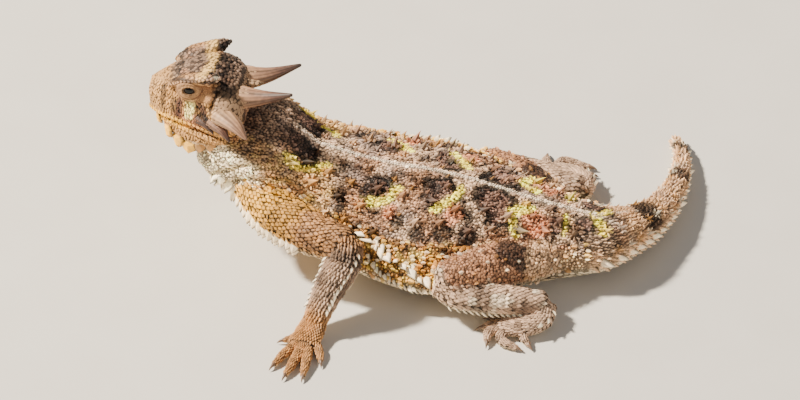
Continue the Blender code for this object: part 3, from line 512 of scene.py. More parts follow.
FORMS = {
    "torso": Form(from_profile(TORSO), (1, 0, 0), domes=(5.0, 0.0)),
    "neck": Form(NECK, domes=(2.5, 0.0)),
    "head": Form(from_profile(HEAD), (1, 0, 0), HEAD_PLACE, (0.9, 1.3)),
    "jaw": Form(from_profile(JAW), (1, 0, 0), HEAD_PLACE, (0.8, 1.2)),
    "tail": Form(TAIL, domes=(0.0, 0.8)),
}
for limb, rows in LIMBS.items():
    FORMS[limb] = Form(rows, domes=(0.0, LIMB_DOME[limb.rsplit("_", 1)[0]]))
for limb, digits in DIGITS.items():
    for count, shape in enumerate(digits):
        FORMS[f"digit_{limb}_{count}"] = Form(digit_rows(*shape), domes=(0.0, 0.5))
NAMES = list(FORMS)
OF = {name: number for number, name in enumerate(NAMES)}
print(len(FORMS), "forms")

# %% [markdown]
# ## One skin over the whole animal
# A real lizard has one skin, so a seam at the shoulder or the jaw would give the model
# away. The forms are meshed a coat's depth smaller, laid over one another, and joined by
# a voxel remesh, which also rounds the creases between them as loose skin does. Unions by
# Boolean would keep every crease sharp. Small voxels are used, because the lids and the
# toes are thin, and the trunk is thinned again afterwards.

# %% Extra flesh of the head: brows, lids, horn bosses
def mirrored(points, side):
    """Places given for the right side, on the side of -1 (left) or 1 (right)."""
    return [(p[0], p[1] * side, *p[2:]) for p in points]


def horn_rows(foot, bend, tip, radius, flat):
    """The sections of a horn, as in the solids."""
    return [(*spot, radius * part, radius * part * flat, radius * part * flat)
            for spot, part in zip((foot, bend, tip), HORN_TAPER)]


SLEEVE = 0.62                 # skin covers this share of the way from a horn's foot to its bend


def head_flesh():
    """Brow ridges, and the sleeve of skin out of which each horn grows."""
    extra = []
    for side in (-1, 1):
        extra.append(Form(mirrored(BROW, side), place=HEAD_PLACE, domes=(0.5, 0.2)))
        for foot, bend, _, radius, flat in HORNS.values():
            way = np.array(bend) - np.array(foot)
            end = 1 + (HORN_TAPER[1] - 1) * SLEEVE
            rows = [(*(np.array(foot) + way * part), size, size * flat, size * flat)
                    for part, size in ((-0.35, radius), (0.0, radius), (SLEEVE, radius * end))]
            extra.append(Form(mirrored(rows, side), place=HEAD_PLACE, domes=(0.6, 0.25)))
    return extra


def ball(centre, radii, segments=24, rings=16):
    """Points and faces of an ellipsoid in the head's frame."""
    points = [(0.0, 0.0, 1.0)]
    for r in range(1, rings):
        polar = math.pi * r / rings
        points += [(math.sin(polar) * math.cos(2 * math.pi * k / segments),
                    math.sin(polar) * math.sin(2 * math.pi * k / segments), math.cos(polar))
                   for k in range(segments)]
    points.append((0.0, 0.0, -1.0))
    end = len(points) - 1
    faces = (fan(1, segments, 0) + tube(rings - 1, segments, 1)
             + fan(end - segments, segments, end))
    return in_head(np.array(points) * radii + centre), faces


# %% Pile up the forms and remesh them to one closed skin
VOXEL = 0.25
SKIN_TRIANGLES = 170000
HEAD_REACH = 14.0             # creases are softened further from the head's middle than this,
TOES_BELOW = 4.5              # and only above the toes
# A short blunt point of skin between the two horns of the nape
NAPE_KNOB = [(9.0, 0, 3.2, 1.3, 1.2, 1.2), (12.0, 0, 3.6, 0.75, 0.7, 0.7),
             (14.0, 0, 4.0, 0.15, 0.15, 0.15)]


def closed_mesh(name, points, faces):
    """A mesh whose faces all look outwards."""
    mesh = bpy.data.meshes.new(name)
    mesh.from_pydata(np.asarray(points, float).tolist(), [], faces)
    shape = bmesh.new()
    shape.from_mesh(mesh)
    bmesh.ops.recalc_face_normals(shape, faces=shape.faces)
    shape.to_mesh(mesh)
    shape.free()
    return mesh


def pile(parts):
    """One mesh in millimetres from several lists of points and faces."""
    faces, base = [], 0
    for points, loops in parts:
        faces += [[base + v for v in loop] for loop in loops]
        base += len(points)
    return closed_mesh("pile", np.concatenate([points for points, _ in parts]), faces)


def skin_parts():
    """Closed meshes of every form, in cells of 0.3 mm on digits and 0.7 mm elsewhere."""
    parts = []
    for name, form in FORMS.items():
        step, depth = (0.3, 0.2) if name.startswith("digit") else (0.7, COAT_DEPTH)
        parts.append(form.closed(step, -depth))
    parts += [form.closed(0.35, -0.12) for form in head_flesh()]
    for side in (-1, 1):
        centre = np.array(EYE_AT) * (1, side, 1)
        parts.append(ball(centre, np.array((1.06, 1.0, 0.94)) * (LID_RADIUS - 0.2)))
    knob = Form(NAPE_KNOB, place=HEAD_PLACE, domes=(0.0, 0.1))
    return parts + [knob.closed(0.3, 0.0)]


def evaluated(holder):
    """The mesh of an object with its modifiers applied, and the modifiers removed."""
    graph = bpy.context.evaluated_depsgraph_get()
    mesh = bpy.data.meshes.new_from_object(holder.evaluated_get(graph))
    holder.modifiers.clear()
    return mesh


def link(name, mesh):
    holder = bpy.data.objects.new(name, mesh)
    bpy.context.scene.collection.objects.link(holder)
    return holder


def coordinates(mesh):
    flat = np.empty(len(mesh.vertices) * 3)
    mesh.vertices.foreach_get("co", flat)
    return flat.reshape(-1, 3)


def one_skin():
    holder = link("skin", pile(skin_parts()))
    remesh = holder.modifiers.new("one skin", "REMESH")
    remesh.mode, remesh.voxel_size = "VOXEL", VOXEL
    relax = holder.modifiers.new("relax", "SMOOTH")
    relax.factor, relax.iterations = 0.5, 5
    holder.data = evaluated(holder)
    local = of_head(coordinates(holder.data))
    loose = np.hypot(local[:, 0], local[:, 1]) > HEAD_REACH
    loose &= coordinates(holder.data)[:, 2] > TOES_BELOW
    group = holder.vertex_groups.new(name="trunk")
    group.add(np.nonzero(loose)[0].tolist(), 1.0, "REPLACE")
    creases = holder.modifiers.new("soften creases", "SMOOTH")
    creases.factor, creases.iterations, creases.vertex_group = 0.5, 40, "trunk"
    holder.data = evaluated(holder)
    return holder


skin = one_skin()
print("skin after the remesh:", len(skin.data.polygons), "faces")

# %% [markdown]
# ## Folds of loose skin
# Horned lizards carry loose skin: rolls under the throat, long folds from the neck to the
# shoulder, and fine cracks that part the back into small fields. These are pressed in
# while the skin is still dense, because the later thinning then spends its triangles on
# them. Cloth simulation would also wrinkle it, but not along the lines of the photo.

# %% Helpers for smooth shapes
def ease(value, low, high):
    """0 below low, 1 above high, smooth between. With low above high it falls instead."""
    t = np.clip((value - low) / (high - low), 0.0, 1.0)
    return t * t * (3 - 2 * t)


def hump(value, width):
    return np.exp(-(value / width) ** 2)


def point_normals(spots, corners):
    """Area weighted normals of a mesh's points."""
    face = np.cross(spots[corners[:, 1]] - spots[corners[:, 0]],
                    spots[corners[:, 2]] - spots[corners[:, 0]])
    total = np.zeros_like(spots)
    for k in range(3):
        np.add.at(total, corners[:, k], face)
    return unit(total)


def gap_to_segment(points, start, end):
    start, end = np.array(start), np.array(end)
    way = end - start
    t = np.clip((points - start) @ way / (way @ way), 0, 1)
    return np.linalg.norm(points - start - t[:, None] * way, axis=1)


# %% Soft noise that is the same on every run
lattice = np.random.default_rng(5).random((32, 32, 32))


def cloud(points, size, layer=0.0):
    """Smooth noise from -1 to 1 with features about size millimetres wide."""
    grid = points / size + 16.0 + layer * 3.7
    cell = np.floor(grid).astype(int)
    part = grid - cell
    part = part * part * (3 - 2 * part)
    total = 0.0
    for step in np.ndindex(2, 2, 2):
        weight = np.abs(1 - np.array(step) - part).prod(1)
        total = total + weight * lattice[tuple((cell + step).T % 32)]
    return 2 * total - 1


def cracks(points, half):
    """1 on the fine cracks that part the skin into fields, and 0 away from them."""
    return hump(cloud(points, 3.6, 20), half) + 0.6 * hump(cloud(points, 2.2, 21), half)


# %% Fold lines, on the side of -y: points, depth and half width in mm
FOLDS = (
    (((-41.6, -6.0, 17.6), (-40.2, -10.2, 19.9), (-37.9, -11.1, 21.9), (-35.4, -11.4, 23.5),
      (-32.9, -11.5, 24.5)), 0.75, 0.55),
    (((-40.6, -6.0, 14.8), (-39.6, -9.3, 17.4), (-36.5, -11.2, 19.0), (-33.9, -12.0, 21.1),
      (-30.3, -12.7, 22.0), (-27.6, -12.8, 20.5)), 0.7, 0.5),
    (((-29.8, -12.4, 23.0), (-25.3, -11.3, 21.8), (-20.6, -10.2, 21.5)), 0.6, 0.4),
    (((-33.7, -12.0, 20.4), (-27.2, -14.2, 20.3), (-21.3, -13.0, 18.4), (-17.6, -16.3, 18.8)),
     0.6, 0.4),
    (((-43.3, -9.3, 25.8), (-42.0, -9.7, 24.1), (-41.6, -9.0, 21.0)), 0.5, 0.6),
    (((-11.0, -15.0, 15.5), (-6.4, -17.0, 14.0), (-4.5, -18.1, 13.1), (-2.3, -21.1, 10.2)),
     0.5, 0.5),
    (((9.0, -16.5, 13.0), (15.0, -13.5, 13.5), (22.0, -9.5, 13.5)), 0.5, 0.5),
)


CRACK_DEPTH, SWELL = 0.24, 0.16     # of the fine cracks, and of the soft unevenness between


def fold_skin(holder):
    """Press the folds into both sides, and shallow cracks into the back and the flanks."""
    at = coordinates(holder.data)
    out = point_normals(at, triangles(holder.data))
    near = np.column_stack([at[:, 0], -np.abs(at[:, 1]), at[:, 2]])
    local = of_head(at)
    body = ease(np.hypot(local[:, 0] - 2.0, local[:, 1]) + ease(local[:, 2], -4, -9) * 9,
                11.5, 13.5)
    press = np.zeros(len(at))
    for line, depth, half in FOLDS:
        far = np.min([gap_to_segment(near, start, end) for start, end in zip(line, line[1:])],
                     axis=0)
        press += depth * (hump(far, half) - 0.35 * hump(far - 2.2 * half, half))
    wide = at[:, 2] > 4.0
    trunk = ease(at[:, 2], 4.0, 9.0) * (np.abs(at[:, 0] - 4) < 36)
    press += (CRACK_DEPTH * cracks(at, 0.10) * trunk - SWELL * cloud(at, 4.5, 22)) * wide
    holder.data.vertices.foreach_set("co", (at - out * (press * body)[:, None]).ravel())


# %% Thin the trunk
def triangles(mesh):
    mesh.calc_loop_triangles()
    flat = np.empty(len(mesh.loop_triangles) * 3, np.int32)
    mesh.loop_triangles.foreach_get("vertices", flat)
    return flat.reshape(-1, 3)


def thin_trunk(holder):
    """Drop triangles everywhere but on the head, where the lids and lips need them."""
    spots = coordinates(holder.data)
    local = of_head(spots)
    keep = (local[:, 0] < 9.0) & (local[:, 2] > -9.0) & (spots[:, 0] < -34)
    holder.vertex_groups.clear()
    group = holder.vertex_groups.new(name="all but the head")
    group.add(np.nonzero(~keep)[0].tolist(), 1.0, "REPLACE")
    thin = holder.modifiers.new("thin", "DECIMATE")
    thin.ratio = SKIN_TRIANGLES / (2 * len(holder.data.polygons))
    thin.vertex_group = group.name
    holder.data = evaluated(holder)


fold_skin(skin)
thin_trunk(skin)
print("skin after thinning:", len(triangles(skin.data)), "triangles")

# %% [markdown]
# ## Carving the face
# Voxels can't hold a lip line or a nostril, so these are carved by moving the skin's
# points along their normals with smooth functions of their place in the head's frame. A
# sculpting brush does the same by hand, but a formula gives the same face on every run.
# The lids are a ring round the slit: inside it the skin drops behind the eyeball's
# surface, at its edge it rises to a rounded rim, and a few soft folds run round it.

# %% Lids round each eye
SLIT_TILT = math.radians(2)       # the eyes look a little upwards
SLIT_HALF = (1.35, 0.88)
LID_RIM = 0.5                     # how far the lid's edge stands off the eyeball


def eye_frame(side):
    """The eye's centre and its directions: back along the slit, out of the eye, and up."""
    centre = np.array(EYE_AT) * (1, side, 1)
    out = np.array((0.0, side * math.cos(SLIT_TILT), math.sin(SLIT_TILT)))
    up = np.array((0.0, -side * math.sin(SLIT_TILT), math.cos(SLIT_TILT)))
    return centre, np.array((1.0, 0.0, 0.0)), out, up


def carve_lids(local, side):
    """Move the points near one eye to lids that lie on the eyeball round an open slit."""
    centre, back, out, up = eye_frame(side)
    arm = local - centre
    far = np.linalg.norm(arm, axis=1)
    a, b, c = arm @ back, arm @ up, arm @ out
    near = (c > 0) & (far < LID_RADIUS + 1.2)
    ring = np.sqrt((a / SLIT_HALF[0]) ** 2 + (b / SLIT_HALF[1]) ** 2)
    open_hole = EYE_RADIUS - 0.35
    rim = EYE_RADIUS + LID_RIM
    folds = 0.09 * np.cos((ring - 1.0) * 7.5) * ease(ring, 1.1, 1.4) * ease(ring, 3.1, 2.2)
    lid = rim + (LID_RADIUS - 0.2 - rim) * ease(ring, 1.2, 2.2) + folds
    lid = lid - 0.3 * hump(ring - 2.15, 0.22) * ease(b, 0.3, -0.3)
    aim = np.where(ring < 1.12, open_hole + (rim - open_hole) * ease(ring, 0.88, 1.12), lid)
    share = near * ease(ring, 3.2, 2.3)
    wanted = centre + arm * (aim / np.maximum(far, 1e-6))[:, None]
    return local + (wanted - local) * share[:, None], share, ring


# %% Mouth line, lips, nostrils, ear pits and the furrow behind the eye
FURROW = ((5.6, 7.2, 6.4), (3.8, 9.2, 1.2))      # top and foot, on the side of +y
EAR_AT = (8.4, 9.3, -3.2)


def mouth_at(x):
    """The height of the mouth's line."""
    return np.interp(x, *np.transpose(MOUTH_LINE))


def face_relief(local):
    """How far each point of the face is moved out, in the head's frame."""
    x, y, z = local[:, 0], np.abs(local[:, 1]), local[:, 2]
    both = np.stack([x, y, z], 1)
    off = z - mouth_at(x)
    front = ease(x, 7.5, 5.5)
    relief = front * (-0.55 * hump(off, 0.26) + 0.16 * hump(off - 0.8, 0.5)
                      + 0.14 * hump(off + 0.85, 0.5))
    nostril = np.linalg.norm((both - NOSTRIL_AT) * (0.8, 1, 1.2), axis=1)
    relief += -0.9 * hump(nostril, 0.5) + 0.18 * hump(nostril - 0.95, 0.3)
    ear = np.sqrt(((x - EAR_AT[0]) / 1.1) ** 2 + ((z - EAR_AT[2]) / 1.7) ** 2)
    relief += -0.8 * ease(ear, 1.1, 0.4) * ease(y, 6.5, 7.5)
    relief += -0.75 * hump(gap_to_segment(both, *FURROW), 0.42)
    hollow = np.linalg.norm(both - (-4.6, 5.6, 2.2), axis=1)
    relief += -0.35 * hump(hollow, 1.6)
    return relief


def carve_face(spots, corners):
    local = of_head(spots)
    near = (local[:, 0] < 11.5) & (spots[:, 0] < -33)
    normal = point_normals(spots, corners) @ HEAD_PLACE[:3, :3]
    lid_share, lid_ring = np.zeros(len(spots)), np.full(len(spots), 9.0)
    shaped = local + normal * (face_relief(local) * near)[:, None]
    for side in (-1, 1):
        shaped, share, ring = carve_lids(shaped, side)
        lid_share = np.maximum(lid_share, share)
        lid_ring = np.where(share > 0, ring, lid_ring)
    return in_head(shaped), lid_share, lid_ring


FLOOR_CLEARANCE = 0.03            # the belly rests on the floor, and nothing goes into it
corners = triangles(skin.data)
spots, lid_share, lid_ring = carve_face(coordinates(skin.data), corners)
spots[:, 2] = np.maximum(spots[:, 2], FLOOR_CLEARANCE)
normals = point_normals(spots, corners)
print("points moved for the lids:", int((lid_share > 0.5).sum()))


# %% Which form each point of the skin belongs to
def form_samples(step=0.8):
    """Points spread over every form, with the form's number, length along it and angle."""
    rows = []
    for number, form in enumerate(FORMS.values()):
        girth = 2 * math.pi * form.rows[:, 3:5].max()
        s = np.linspace(0, form.length, max(int(form.length / step), 5))
        angle = np.arange(max(int(girth / step), 12)) * 2 * math.pi / max(int(girth / step), 12)
        s, angle = (v.ravel() for v in np.meshgrid(s, angle))
        spot = form.point(s, angle, -COAT_DEPTH)
        rows.append(np.column_stack([spot, np.full(len(s), number), s, angle]))
    return np.concatenate(rows)


def tree_over(points):
    tree = KDTree(len(points))
    for k, point in enumerate(points):
        tree.insert(point, k)
    tree.balance()
    return tree


samples = form_samples()
sample_tree = tree_over(samples[:, :3])


def belongs(points):
    """Form number, length along it and angle of the nearest sample, for each point."""
    nearest = np.array([sample_tree.find(p)[1] for p in points])
    return samples[nearest, 3].astype(int), samples[nearest, 4], samples[nearest, 5]


owner, along, angle = belongs(spots)
print(len(samples), "samples, forms met on the skin:", len(set(owner.tolist())))


# %% The direction in which the scales lie
def lie_directions(owner, along, angle, normals):
    """Backwards along the owning form, laid flat on the skin."""
    lie = np.zeros_like(normals)
    for number, form in enumerate(FORMS.values()):
        mine = owner == number
        if mine.any():
            s = np.clip(along[mine], 0.3, form.length - 0.3)
            lie[mine] = form.backward(s, angle[mine])
    return unit(lie - normals * (lie * normals).sum(1)[:, None])


lie = lie_directions(owner, along, angle, normals)
print("lie worked out for", len(lie), "points")

# %% [markdown]
# ## Markings
# The real animal is coloured scale by scale, and the same pattern lies in the skin between
# them. So the markings are worked out once, as a colour for every point of the skin, and
# each scale later takes the colour at its root. They could be painted as a texture, but
# a few named shades, laid over one another by place on the body, stay sharp at any size.

# %% Shades of the coat
SHADES = {
    "back": "D4B89E", "back rose": "B88E6E", "back grey": "A6948A", "blotch": "241A16",
    "blotch centre": "9E8072", "crescent": "FFEE70", "stripe": "F2E0CC", "rose": "DC9E7A",
    "flank ochre": "D6A45E", "flank yellow": "F2D37C", "flank black": "1C1410",
    "belly": "E2D3B8", "belly spot": "8B7A68", "chest": "D4A952", "arm": "AA8444",
    "arm low": "A9825A", "forearm": "B89F8A", "limb dark": "483830", "hand": "BC9264",
    "thigh": "B48B6E", "shank": "C0A690", "tail": "DEBB96", "tail band": "4A3A30",
    # neck is a painted shadow that the horns cast on the nape
    "tail side": "F0D0AC", "cream": "FFF3DA", "neck": "7A6252",
    "face": "C9A06C", "crown": "968070", "crown pit": "3A2B24", "crown yellow": "E8C684",
    "crown black": "2E2421", "brow": "D0A57A", "lid": "CFA67C", "lid rim": "D6AC80",
    "bar dark": "6B4F45", "bar pale": "FFEBA6", "cheek": "C99570", "temple": "B89C80",
    "snout": "C6A070", "labial": "F2C258", "throat": "F6E6C8", "spine": "7D6151",
}
# The gloss of scales adds white to what they show, so their pigment is deeper than they look
PAINT = {name: np.array(linear(shade)) ** 1.3 for name, shade in SHADES.items()}


def blend(colour, other, share):
    return colour + (other - colour) * share[:, None]


def lay(colour, *coats):
    """Lay named shades over a colour one after another, each by a share for every point."""
    for shade, share in coats:
        colour = blend(colour, PAINT[shade], np.broadcast_to(np.clip(share, 0, 1), len(colour)))
    return colour


def half_width(x):
    """Half the trunk's width at a place along it."""
    return np.interp(x, *np.transpose(TORSO)[:2])


# %% Marks of the back, by place on the body (x back along it, y from the midline)
# The dark blotches, in pairs: x, y, radius along and across
BLOTCHES = ((-23.0, 4.2, 3.6, 3.0), (-6.4, 7.0, 3.6, 3.4), (6.4, 5.2, 4.2, 4.0),
            (18.2, 4.4, 4.6, 4.4), (31.0, 4.6, 2.6, 1.8), (37.0, 3.0, 2.2, 1.6))
# Their pale hind edges: three places along each, and half its width
CRESCENTS = (
    ((-25.4, 8.2), (-22.0, 7.4), (-17.6, 5.0), 0.8),
    ((-7.4, 10.2), (-4.4, 9.3), (-2.4, 6.0), 0.95),
    ((6.0, 9.2), (8.4, 7.2), (10.4, 3.6), 0.95),
    ((25.4, 2.8), (21.4, 4.8), (23.0, 8.6), 1.0),
    ((32.3, 2.2), (32.6, 3.4), (32.7, 5.8), 0.45),
    ((37.8, -0.4), (39.4, 0.8), (40.4, 3.2), 1.0),
)
# Extra black on the sides of the back and on the flank: x, y, radius
DARK_SPOTS = ((-14.5, 9.5, 2.0), (-13.0, 13.0, 1.6), (-10.0, 16.0, 1.8), (-1.5, 12.4, 2.2),
              (3.5, 14.6, 2.0), (8.5, 12.6, 2.4), (13.5, 13.0, 2.0), (12.6, 8.6, 1.6),
              (14.0, 3.0, 1.5), (26.5, 10.6, 1.8), (33.8, 7.6, 1.2), (0.0, 3.6, 1.0),
              (-7.0, 6.8, 2.4), (5.2, 4.6, 1.6), (-22.6, 3.8, 1.8))
# Reddish fields outside the crescents: x, y, radius
ROSE_FIELDS = ((-3.2, 11.6, 1.6), (9.8, 9.6, 1.8), (26.4, 5.8, 3.0), (33.5, 8.6, 1.4))


def paint_back(at, high):
    """Ground, blotches with pale hind edges, and the pale line down the middle."""
    x, y = at[:, 0], np.abs(at[:, 1])
    flat = np.stack([x, y], 1)
    side = np.where(at[:, 1] < 0, 0.0, 1.3)       # the right side's spots lie further back
    edge = 0.35 * cloud(at, 1.6, 2) + 0.2 * cloud(at, 3.5, 3)
    coats = [("back", 1), ("back rose", 0.8 * ease(cloud(at, 5.0), -0.1, 0.5)),
             ("back grey", 0.8 * ease(cloud(at, 3.2, 1), 0.0, 0.6)),
             # Painted shade along the fine cracks that are pressed into the skin
             ("blotch", 0.62 * cracks(at, 0.12))]
    for bx, by, rx, ry in BLOTCHES:
        far = np.sqrt(((x - bx) / rx) ** 2 + ((y - by) / ry) ** 2) + edge
        coats += [("blotch", 0.96 * ease(far, 1.05, 0.92)),
                  ("blotch centre", 0.85 * ease(far, 0.75, 0.55))]
    coats += [("blotch", 0.85 * ease(np.hypot(x - sx - side, y - sy) / radius + edge, 1.0, 0.8))
              for sx, sy, radius in DARK_SPOTS]
    coats += [("rose", 0.85 * ease(np.hypot(x - sx, y - sy) / radius + edge, 1.2, 0.8))
              for sx, sy, radius in ROSE_FIELDS]
    ragged = 0.45 * cloud(at, 1.3, 4)
    for first, middle, last, half in CRESCENTS:
        far = np.minimum(gap_to_segment(flat, first, middle),
                         gap_to_segment(flat, middle, last))
        coats.append(("crescent", ease(far + ragged, half * 1.05, half * 0.85)))
    line = ease(y + 0.15 * cloud(at, 1.0, 5), 0.55, 0.38) * ease(x, -27.0, -24.0)
    coats.append(("stripe", line * (high > 0) * ease(cloud(at, 1.1, 23), -0.8, -0.5)))
    return lay(np.zeros_like(at), *coats)


def paint_trunk(at, name, turn):
    """Torso and neck: the back above, ochre flanks flecked with black, a pale belly."""
    high, x, y, z = np.sin(turn), at[:, 0], np.abs(at[:, 1]), at[:, 2]
    back = paint_back(at, high)
    speck = cloud(at, 1.5, 7) + 0.6 * cloud(at, 0.8, 8)
    flank = lay(back, ("flank ochre", 1), ("flank yellow", ease(speck, 0.1, 0.5)),
                # The black flecks are partly the flank's own black and partly painted shadow of
                # the hollows between its scales
                ("flank black", 0.9 * ease(speck, -0.25, -0.55)),
                ("tail side", 0.85 * ease(x + 0.6 * cloud(at, 2.0, 25), 24.0, 28.0)),
                ("tail side", 0.45 * ease(x, -13.0, -17.0)))
    colour = blend(back, flank, ease(y / half_width(x) + 0.10 * cloud(at, 3.0, 6), 0.66, 0.80))
    belly = lay(colour, ("belly", 1), ("belly spot", 0.8 * ease(cloud(at, 1.8, 10), 0.35, 0.6)))
    colour = blend(colour, belly, ease(high + 0.1 * cloud(at, 2.0, 9), 0.12, -0.22))
    chest = ease(x, -14.0, -19.0) * ease(z + 0.02 * (x + 20), 23.0, 20.0)
    outer = chest * ease(y, 5.5, 8.5)
    coats = [("chest", outer), ("tail side", 0.6 * outer),
             ("flank yellow", 0.6 * chest * ease(cloud(at, 1.8, 24), 0.1, 0.5))]
    if name == "neck":
        # Painted shadow of the horns, darkening the top of the neck behind the head
        coats += [("neck", ease(x, -22.0, -27.0) * ease(z, 22.5, 25.5) * 0.6),
                  ("throat", ease(x, -28.5, -32.5) * ease(z + 0.35 * (x + 36), 27.2, 25.2))]
    return lay(colour, *coats)


# %% Marks of the limbs and the tail
def paint_limb(at, name, s, turn, length):
    """Each limb fades from the shade of the body it leaves to its own, with dark bands."""
    part, high, x = s / length, np.sin(turn), at[:, 0]
    kind = name.rsplit("_", 1)[0]
    mottle = cloud(at, 2.4, 11) + 0.5 * cloud(at, 1.1, 12)

    def bands(*rows):
        return sum(hump(part - middle, half) for middle, half in rows)

    if kind == "upper_arm":
        coats = (("chest", 1), ("arm", ease(part, 0.25, 0.5)),
                 ("arm low", ease(part + 0.1 * mottle, 0.55, 0.75) * ease(high, -0.6, 0.1)),
                 ("limb dark", 0.5 * ease(mottle, 0.3, 0.7) * ease(part, 0.4, 0.7)),
                 ("limb dark", 0.4 * ease(part + 0.08 * mottle, 0.82, 0.95)))
    elif kind == "forearm":
        dark = bands((0.55, 0.16), (0.2, 0.12)) * ease(mottle, -0.4, 0.2)
        coats = (("arm low", 1), ("forearm", ease(part, 0.0, 0.25)), ("limb dark", 0.75 * dark),
                 ("hand", ease(part, 0.75, 1.0)))
    elif kind == "thigh":
        spot = np.hypot((x - 23.6) / 1.15, np.abs(at[:, 1]) - 13.8) / 3.6
        coats = (("thigh", 1), ("limb dark", 0.9 * ease(spot + 0.25 * mottle, 1.05, 0.85)),
                 ("tail side", 0.6 * ease(x, 25.5, 28.0)),
                 ("limb dark", 0.5 * ease(mottle, -0.3, -0.7) * ease(x, 24, 27)),
                 ("cream", 0.35 * ease(mottle, 0.5, 0.9)))
    elif kind == "shank":
        dark = bands((0.42, 0.12), (0.85, 0.12)) * ease(mottle, -0.5, 0.1)
        coats = (("shank", 1), ("limb dark", 0.8 * dark),
                 ("cream", 0.4 * ease(mottle, 0.3, 0.8)))
    else:
        dark = {"hand": 0.35 * ease(mottle, 0.1, 0.6), "foot": 0.65 * ease(mottle, 0.1, 0.6)}
        coats = (("hand" if "hand" in name else "shank", 1),
                 ("limb dark", dark.get(kind, 0.45 * ease(np.sin(s * 2.6), 0.2, 0.8))))
    return lay(np.zeros_like(at), *coats, ("belly", 0.8 * ease(high, -0.2, -0.7)))


# Dark bands of the tail: middle and half width along it, in millimetres
TAIL_BANDS = ((16.6, 2.8), (35.2, 2.4), (47.2, 1.3))


def paint_tail(at, s, turn):
    """Tan above with dark bands, pale pointed edges and a pale underside."""
    high = np.sin(turn)
    back = paint_back(at, high)
    tan = lay(back, ("tail", 1), ("back grey", 0.5 * ease(cloud(at, 2.2, 13), 0.1, 0.6)))
    waver = 0.6 * cloud(at, 1.7, 14)
    bands = [("tail band", 0.95 * ease(np.abs(s - middle + waver), half, half * 0.7)
              * ease(high, -0.1, 0.25)) for middle, half in TAIL_BANDS]
    return lay(blend(back, tan, ease(s, 6.5, 10.0)), *bands,
               ("tail side", 0.85 * ease(high, 0.45, 0.1) * ease(s, 34.0, 20.0)),
               ("belly", ease(high, -0.15, -0.4)))


